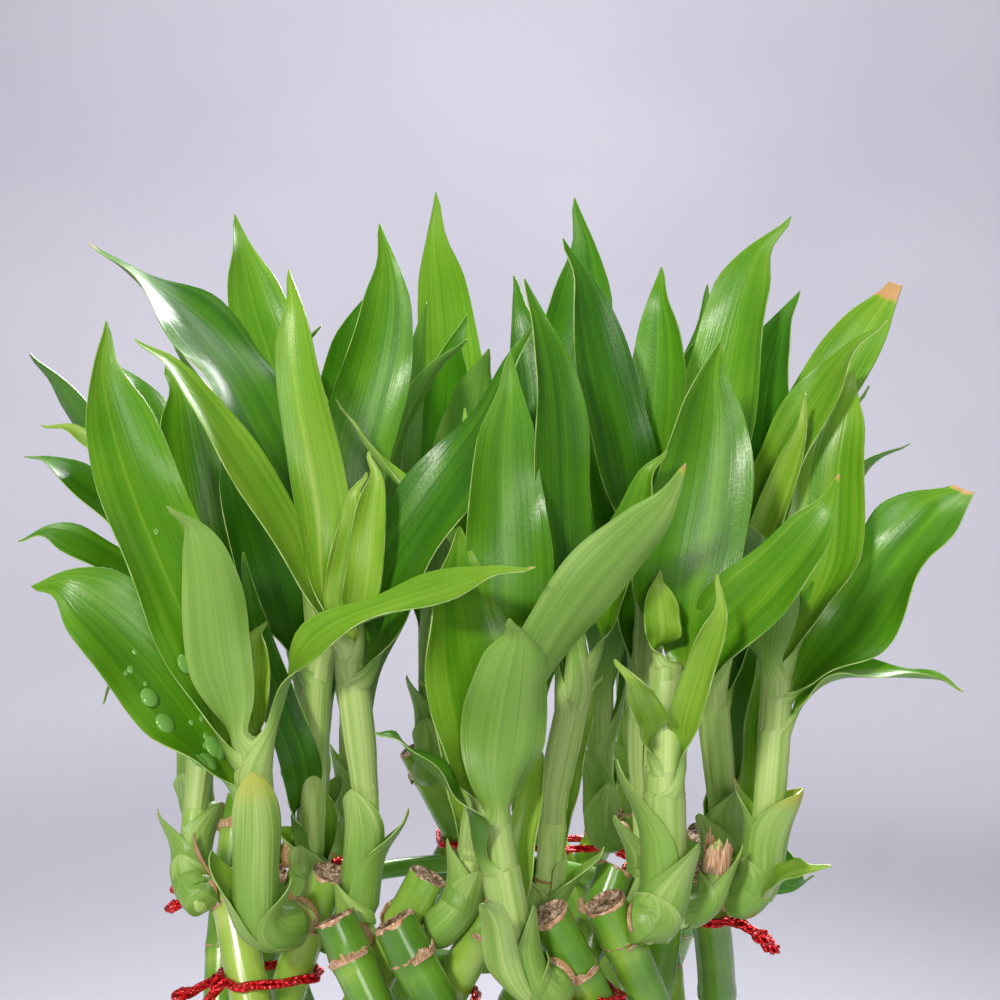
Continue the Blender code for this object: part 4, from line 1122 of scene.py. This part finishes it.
CANE_SIDES = 30
CANE_ROW = 3.4    # from one row of the rind to the next, away from the joints
CANE_TONES = {"outer_01": 0.66, "outer_02": 0.16, "outer_03": 0.12, "outer_04": 0.24, "outer_05": 0.30,
              "outer_06": 0.22, "inner_02": 0.50, "inner_03": 0.46, "inner_04": 0.40, "inner_05": 0.34}
RIM = 0.93        # share of the radius where the rind ends and the cut pith starts


def cane_joints(name, stalk, foot):
    """Heights of a cane's joints, from the one that carries its shoot down."""
    rule = Random(name + "_joints")
    heights = [foot - 3.0]
    while heights[-1] > STALK_FOOT + 30:
        heights.append(heights[-1] - rule.uniform(22, 36))
    return heights


def make_cane(name, stalk, joints):
    """A cane with swollen joints, bark left round them and a dried, slightly slanting cut."""
    rule = Random(name)
    heights = {stalk.top - d for d in (0.3, 0.8, 1.6, 2.6)}
    h = STALK_FOOT + 0.2
    while h < stalk.top - 3:
        heights.add(h)
        h += CANE_ROW
    for joint in joints:
        near_rows = [joint + d for d in (-3, -1.8, -1.1, -0.6, -0.2, 0.2, 0.6, 1.1, 1.8, 3)]
        heights |= {h for h in near_rows if h < stalk.top - 1}
    rows = [(STALK_FOOT, 0.01), (STALK_FOOT, 0.7)]
    for h in sorted(heights):
        joint = min((abs(h - j), j) for j in joints)[1]
        swell = 0.07 * exp(-((h - joint) / 2.0) ** 2) - 0.035 * exp(-((h - joint) / 0.45) ** 2)
        rows.append((h, 0.955 + swell))
    rows.append((stalk.top - 0.05, RIM))
    first_cut = len(rows)
    rows += [(stalk.top - deep, share) for deep, share in (
        (0.35, RIM - 0.06), (0.75, 0.78), (0.65, 0.6), (0.8, 0.42), (0.7, 0.24), (0.8, 0.1), (0.8, 0.01))]
    last = len(rows) - 1
    slant, slant_angle, seed = rule.uniform(0.03, 0.12), rule.uniform(0, 2 * pi), rule.uniform(0, 50)
    frames = [stalk_frame(stalk, h) for h, _ in rows]

    def place(u, v):
        j = round(v * last)
        centre, axis, side, other = frames[j]
        h, share = rows[j]
        angle = 2 * pi * u
        lump = noise.noise(Vector((cos(angle) * 1.2, sin(angle) * 1.2, h * 0.05 + seed)))
        reach = stalk.radius * share * (1 + 0.025 * lump)
        rise = slant * reach * cos(angle - slant_angle) * smooth((h - stalk.top + 7) / 7)
        if j >= first_cut:
            grain = Vector((cos(angle) * share * 4, sin(angle) * share * 4, seed))
            rise += 0.55 * noise.noise(grain) + 0.25 * noise.noise(grain * 2.7)
        return centre + turned(side, other, angle) * reach + axis * rise

    def scar(u, v):
        h, share = rows[round(v * last)]
        ragged = noise.noise(Vector((cos(2 * pi * u) * 1.5, sin(2 * pi * u) * 1.5, seed + h * 0.2)))
        ring = max(exp(-((h - j - 0.3 - 0.5 * ragged) / 0.5) ** 2) for j in joints)
        return (0.66 + 0.25 * ragged) * ring + smooth((h - stalk.top + 1.3 + 1.3 * ragged) / 1.2)

    base_tone = CANE_TONES.get(name[5:], rule.uniform(0.25, 0.50))

    def tone(u, v):
        h = rows[round(v * last)][0]
        waxy = max(exp(-((j - 3.5 - h) / 3.0) ** 2) for j in joints)
        return base_tone + 0.2 * waxy

    made = shaped(name, CANE_SIDES, last, place, {"scar": scar, "tone": tone, "mark": rule.uniform(0, 90)}, "cane")
    for face in made.data.polygons:
        if face.index // CANE_SIDES >= first_cut - 1:
            face.material_index = 1
    return close_sleeve(made)


def make_collar(name, stalk, height, turn):
    """Torn dry skin of an old leaf base, wrapped part way round a cane and standing off at its ragged edge."""
    rule = Random(name)
    sweep, seed = rule.uniform(2.2, 4.6), rule.uniform(0, 50)

    def place(u, v):
        torn = 0.55 + 0.45 * noise.noise(Vector((u * 7, seed, 0))) + 0.35 * noise.noise(Vector((u * 19, seed, 3)))
        h = height + 4.0 * v * max(torn, 0.06) * (0.25 + 0.75 * sin(pi * min(max(u, 0.02), 0.98)))
        centre, _, side, other = stalk_frame(stalk, h)
        reach = stalk.radius * 0.97 + 0.42 + v * v * (0.6 + noise.noise(Vector((u * 5, seed, 8))))
        return centre + turned(side, other, turn + sweep * u) * reach

    return dry_sheet(name, 40, 4, place, seed, 0.22)


# ---------------------------------------------------------------- ties

STRANDS = 3
STRAND_RADIUS = 0.60
STRAND_OFFSET = 0.76
BELT_PITCH = 34.0      # mm of wire for one turn of the strands round the belt
TAIL_PITCH = 7.0       # and at its loose ends
KNOT_POINTS = 17


def pigtail(start, direction, outward, rule):
    """The loose end of a tie: it runs out, then curls round once or twice."""
    side = direction.cross(outward).normalized()
    size = rule.uniform(1.6, 2.6)
    turns = rule.uniform(0.8, 1.6)
    centre = start + direction * 2.0 + side * size
    count = int(14 * turns)
    return [start + direction * 1.0] + [
        centre + (direction * sin(2 * pi * turns * i / count) - side * cos(2 * pi * turns * i / count)) * size
        + outward * (0.9 * turns * i / count) for i in range(count + 1)]


def make_tie(name, first, second, height):
    """Strands of foil twisted together round two canes, with curled ends and a crushed knot between them."""
    rule = Random(name)
    belt = tie_path(first, second, height)
    middle = (belt[1] + belt[-2]) / 2
    outward = flat(middle)
    front = pigtail(belt[0], (belt[0] - belt[1]).normalized(), outward, rule)
    back = pigtail(belt[-1], (belt[-1] - belt[-2]).normalized(), outward, rule)
    route = list(reversed(front)) + belt + back
    fine = through(route, len(route) * 5)
    frames = across_frame(fine)
    reach, turns = [0.0], [0.0]
    for i, (a, b) in enumerate(zip(fine, fine[1:])):
        on_belt = 5 * len(front) < i < len(fine) - 5 * len(back)
        reach.append(reach[-1] + (b - a).length)
        turns.append(turns[-1] + (b - a).length / (BELT_PITCH if on_belt else TAIL_PITCH))
    parts = []
    for strand in range(STRANDS):
        path = [point + turned(side, other, 2 * pi * (run + strand / STRANDS)) * STRAND_OFFSET
                for point, (_, side, other), run in zip(fine, frames, turns)]
        radii = [STRAND_RADIUS * (1 + 0.25 * noise.noise(Vector((r * 0.9, strand * 9, 0)))) for r in reach]
        radii[0] = radii[-1] = 0.02
        parts.append(tube(f"{name}_{strand}", path, radii, {}, "foil", 6))
    # the knot: short loops of the same foil pulled tight over each other
    knot = middle + outward * 1.2
    side = Vector((-outward.y, outward.x, 0))
    for loop in range(3):
        tilt = rule.uniform(0.3, 2.8)
        size = rule.uniform(1.7, 2.7)
        a = side * cos(tilt) + UP * sin(tilt)
        b = outward * rule.uniform(0.5, 1.0) + UP * rule.uniform(-0.5, 0.5)
        angles = [2 * pi * i / KNOT_POINTS for i in range(KNOT_POINTS)]
        ring = [knot + a * (size * cos(angle)) + b * (0.7 * size * sin(angle)) for angle in angles]
        lumps = [noise.noise(Vector((i * 0.7, loop * 5, 1))) for i in range(KNOT_POINTS - 2)]
        radii = [0.02] + [STRAND_RADIUS * 1.2 * (1 + 0.3 * lump) for lump in lumps] + [0.02]
        parts.append(tube(f"{name}_loop_{loop}", ring, radii, {}, "foil", 6))
    return parts


# ---------------------------------------------------------------- hoop, bowl and pebbles

def make_hoop():
    """The sleeved hoop, as thick and as wide as its CAD body."""
    low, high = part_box("hoop")
    minor = (high.z - low.z) / 2
    made = primitive(bpy.ops.mesh.primitive_torus_add, major_radius=high.x - minor, minor_radius=minor * 0.98,
                     major_segments=128, minor_segments=18, location=(0, 0, (low.z + high.z) / 2))
    made.data.materials.append(finish["hoop"][0])
    return made


def select_faces(made, test):
    """Selects the faces that pass a test, in edit mode's face mode."""
    bpy.ops.object.mode_set(mode="OBJECT")
    for face in made.data.polygons:
        face.select = test(face)
    bpy.ops.object.mode_set(mode="EDIT")


BOWL_FOOT = 0.074
BOWL_WALL = 0.0046
BOWL_FLOOR = 0.006


def make_bowl():
    """A thrown bowl: flared wall, rolled lip and a foot ring."""
    low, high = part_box("bowl")
    height, rim, foot = high.z - low.z, high.x, BOWL_FOOT
    made = primitive(bpy.ops.mesh.primitive_cylinder_add, vertices=120, radius=foot, depth=height,
                     location=(0, 0, height / 2))
    bpy.ops.object.mode_set(mode="EDIT")
    bpy.ops.mesh.select_mode(type="FACE")
    select_faces(made, lambda f: f.normal.z > 0.9)
    bpy.ops.transform.resize(value=(rim / foot, rim / foot, 1))
    bpy.ops.mesh.inset(thickness=BOWL_WALL, depth=0)
    bpy.ops.mesh.extrude_region_move(TRANSFORM_OT_translate={"value": (0, 0, BOWL_FLOOR - height)})
    floor_share = (foot + 0.004) / (rim - BOWL_WALL)
    bpy.ops.transform.resize(value=(floor_share, floor_share, 1))
    select_faces(made, lambda f: f.normal.z < -0.9 and f.center.z < 0.001)
    bpy.ops.mesh.inset(thickness=0.005, depth=0)
    bpy.ops.mesh.extrude_region_move(TRANSFORM_OT_translate={"value": (0, 0, 0.0015)})
    for share in (0.08, 0.22, 0.4, 0.6, 0.8):
        bpy.ops.mesh.select_all(action="SELECT")
        bpy.ops.mesh.bisect(plane_co=(0, 0, height * share), plane_no=(0, 0, 1))
    bpy.ops.object.mode_set(mode="OBJECT")
    belly = [v for v in made.data.vertices if 0.001 < v.co.z < height - 0.001]
    for vert in belly:
        share = vert.co.z / height
        swell = 1 + 0.035 * sin(pi * share ** 0.7)
        vert.co.x *= swell
        vert.co.y *= swell
    apply_modifier(made, "BEVEL", width=0.0018, segments=4, angle_limit=radians(35))
    made.data.materials.append(finish["glaze"][0])
    return made


PEBBLE_TOP = 0.046
PEBBLE_TRIES = 5200     # places tried for each of the two layers


def make_pebbles():
    """Loose pebbles over the bed: one tumbled stone copied, each squashed and turned its own way."""
    rule = Random("pebbles")
    stone = primitive(bpy.ops.mesh.primitive_ico_sphere_add, subdivisions=2, radius=1)
    low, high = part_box("pebble_bed")
    edge = high.x - 0.006
    feet = [(stalk_point(s, 1000 * PEBBLE_TOP) * MM, s.radius * MM) for s in STALKS.values()]
    places = []
    for layer in range(2):
        for _ in range(PEBBLE_TRIES):
            reach, angle = edge * sqrt(rule.random()), rule.uniform(0, 2 * pi)
            spot = Vector((reach * cos(angle), reach * sin(angle), PEBBLE_TOP + (0.0005 if layer == 0 else 0.0055)))
            size = rule.uniform(0.0050, 0.0078)
            clear = all((spot.xy - c.xy).length > r + size * 0.8 for c, r in feet)
            room = 0.92 if layer == 0 else 1.05
            if clear and all((spot - other).length > (size + width) * room for other, width in places):
                places.append((spot, size))
    parts = []
    for number, (spot, size) in enumerate(places):
        data = stone.data.copy()
        turn = Matrix.Rotation(rule.uniform(0, 2 * pi), 3, "Z") @ Matrix.Rotation(rule.uniform(-0.4, 0.4), 3, "X")
        squash = Vector((1, rule.uniform(0.75, 1.0), rule.uniform(0.55, 0.8)))
        seed = rule.uniform(0, 90)
        for vert in data.vertices:
            lump = 1 + 0.16 * noise.noise(vert.co * 1.1 + Vector((seed, 0, 0)))
            vert.co = turn @ (vert.co * squash) * (size * lump) + spot
        layer = data.attributes.new("tone", "FLOAT", "POINT")
        layer.data.foreach_set("value", [rule.uniform(0.0, 0.75)] * len(data.vertices))
        data.materials.append(finish["pebble"][0])
        made = bpy.data.objects.new(f"pebble_{number}", data)
        bpy.context.scene.collection.objects.link(made)
        parts.append(made)
    bpy.data.objects.remove(stone)
    return parts


# ---------------------------------------------------------------- the plant

shoots = FRONT_SHOOTS + [back_shoot(row, seed) for seed, row in enumerate(BACK_SHOOTS)]
grown = grow(shoots, [tree_of(add_tube, stalk_axis(s), s.radius + LEAF_CLEARANCE) for s in STALKS.values()])
feet = {shoot.stalk: shoot.foot for shoot in shoots}

for name, stalk in STALKS.items():
    joints = cane_joints(name, stalk, feet.get(name, stalk.top - 6))
    turn = Random(name + "_collar").uniform(0, 2 * pi)
    parts = [make_cane("cane_" + name, stalk, joints), make_collar(f"collar_{name}", stalk, joints[0] - 0.8, turn)]
    if name == "outer_01":
        parts.append(make_spike("spike_" + name, stalk, radians(-75), (-72.5, -33, 219)))
    finish_piece(parts, "cane_" + name, "stalk_skin", "stalk_" + name)

for shoot, path, leaves in grown:
    name = "shoot_" + shoot.stalk
    parts = [make_stem(name + "_stem", path, shoot.radius)]
    by_height = sorted(range(len(leaves)), key=lambda i: -leaves[i][0].start)
    for i, (leaf, curve) in enumerate(leaves):
        number = shoot.leaves.index(leaf)
        made, rows = make_leaf(f"{name}_leaf_{number}", path, shoot, leaf, curve, by_height.index(i))
        parts.append(made)
        parts += make_drops(rows, DROP_SPOTS.get((shoot.stalk, number), 0))
    parts.append(make_foot_ring(name + "_ring", path, shoot.radius))
    if shoot.stalk == "outer_05":
        parts += make_stub()
    for k, bract in enumerate(bracts_of(shoot, Random(name + "_bracts"))):
        parts.append(make_bract(f"{name}_bract_{k}", path, shoot.radius, bract, len(leaves) + k))
    finish_piece(parts, "leafy_" + name, "leaf", name)

for number, (first, second, height) in enumerate(TIES, 1):
    name = f"wire_tie_{number:02d}"
    finish_piece(make_tie("foil_" + name, first, second, height), "foil_" + name, "red_foil", name)

finish_piece([make_hoop()], "green_hoop", "hoop_green", "hoop")
finish_piece([make_bowl()], "glazed_bowl", "white_glaze", "bowl")
finish_piece(make_pebbles(), "loose_pebbles", "pebble_stone")
bed = bpy.data.objects["pebble_bed"]
bed.data.materials.clear()
bed.data.materials.append(pebble_shadow())

# ---------------------------------------------------------------- studio

SWEEP_FRONT, SWEEP_BACK, SWEEP_BEND, SWEEP_TALL, SWEEP_WIDE = 2.5, 0.45, 2.4, 2.0, 5.0    # metres


def make_sweep():
    """A studio sweep: a flat floor that curves up into the wall behind."""
    sweep = primitive(bpy.ops.mesh.primitive_grid_add, x_subdivisions=2, y_subdivisions=80, size=2)
    bend_run = SWEEP_BEND * pi / 2
    run = SWEEP_FRONT + SWEEP_BACK + bend_run + SWEEP_TALL
    for vert in sweep.data.vertices:
        s = (vert.co.y + 1) / 2 * run - SWEEP_FRONT
        angle = min(max((s - SWEEP_BACK) / SWEEP_BEND, 0), pi / 2)
        vert.co.x *= SWEEP_WIDE
        vert.co.y = min(s, SWEEP_BACK) + SWEEP_BEND * sin(angle)
        vert.co.z = SWEEP_BEND * (1 - cos(angle)) + max(s - SWEEP_BACK - bend_run, 0)
    sweep.data.materials.append(matt_backdrop())
    bpy.ops.object.shade_smooth()
    sweep.name = "studio_sweep"


def add_light(name, place, target, size, power, colour="#ffffff", spread=180):
    """A soft box that faces a point."""
    lamp = bpy.data.lights.new(name, "AREA")
    lamp.size = size
    lamp.energy = power
    lamp.color = srgb(colour)[:3]
    lamp.spread = radians(spread)
    holder = bpy.data.objects.new(name, lamp)
    holder.location = place
    holder.rotation_euler = (Vector(target) - Vector(place)).to_track_quat("-Z", "Y").to_euler()
    bpy.context.scene.collection.objects.link(holder)


make_sweep()
crown = (0.0, 0.0, 0.29)
add_light("key_softbox", (-0.62, -1.45, 1.05), crown, 0.20, 22, "#fffaf0")
add_light("fill_softbox", (0.30, -1.45, 0.52), crown, 0.5, 6.5, "#fffdf6")
add_light("back_softbox", (0.4, 1.0, 1.15), crown, 0.6, 7, "#ffffff", 60)
add_light("wall_wash", (0.0, 0.6, 2.4), (0, 2.4, 0.9), 1.6, 39, "#fbfaff")

world = bpy.data.worlds.new("studio")
world.use_nodes = True
world.node_tree.nodes["Background"].inputs["Color"].default_value = srgb("#d0cfdb")
world.node_tree.nodes["Background"].inputs["Strength"].default_value = 0.34
bpy.context.scene.world = world
bpy.context.scene.view_settings.view_transform = "Standard"

camera = bpy.data.objects.new("camera", bpy.data.cameras.new("camera"))
camera.data.sensor_width = 36.0
camera.data.lens = 52.272
camera.location = (0.0086, -0.418, 0.307)
camera.rotation_euler = (radians(90), 0, 0)
camera.data.clip_start = 0.01
bpy.context.scene.collection.objects.link(camera)
bpy.context.scene.camera = camera
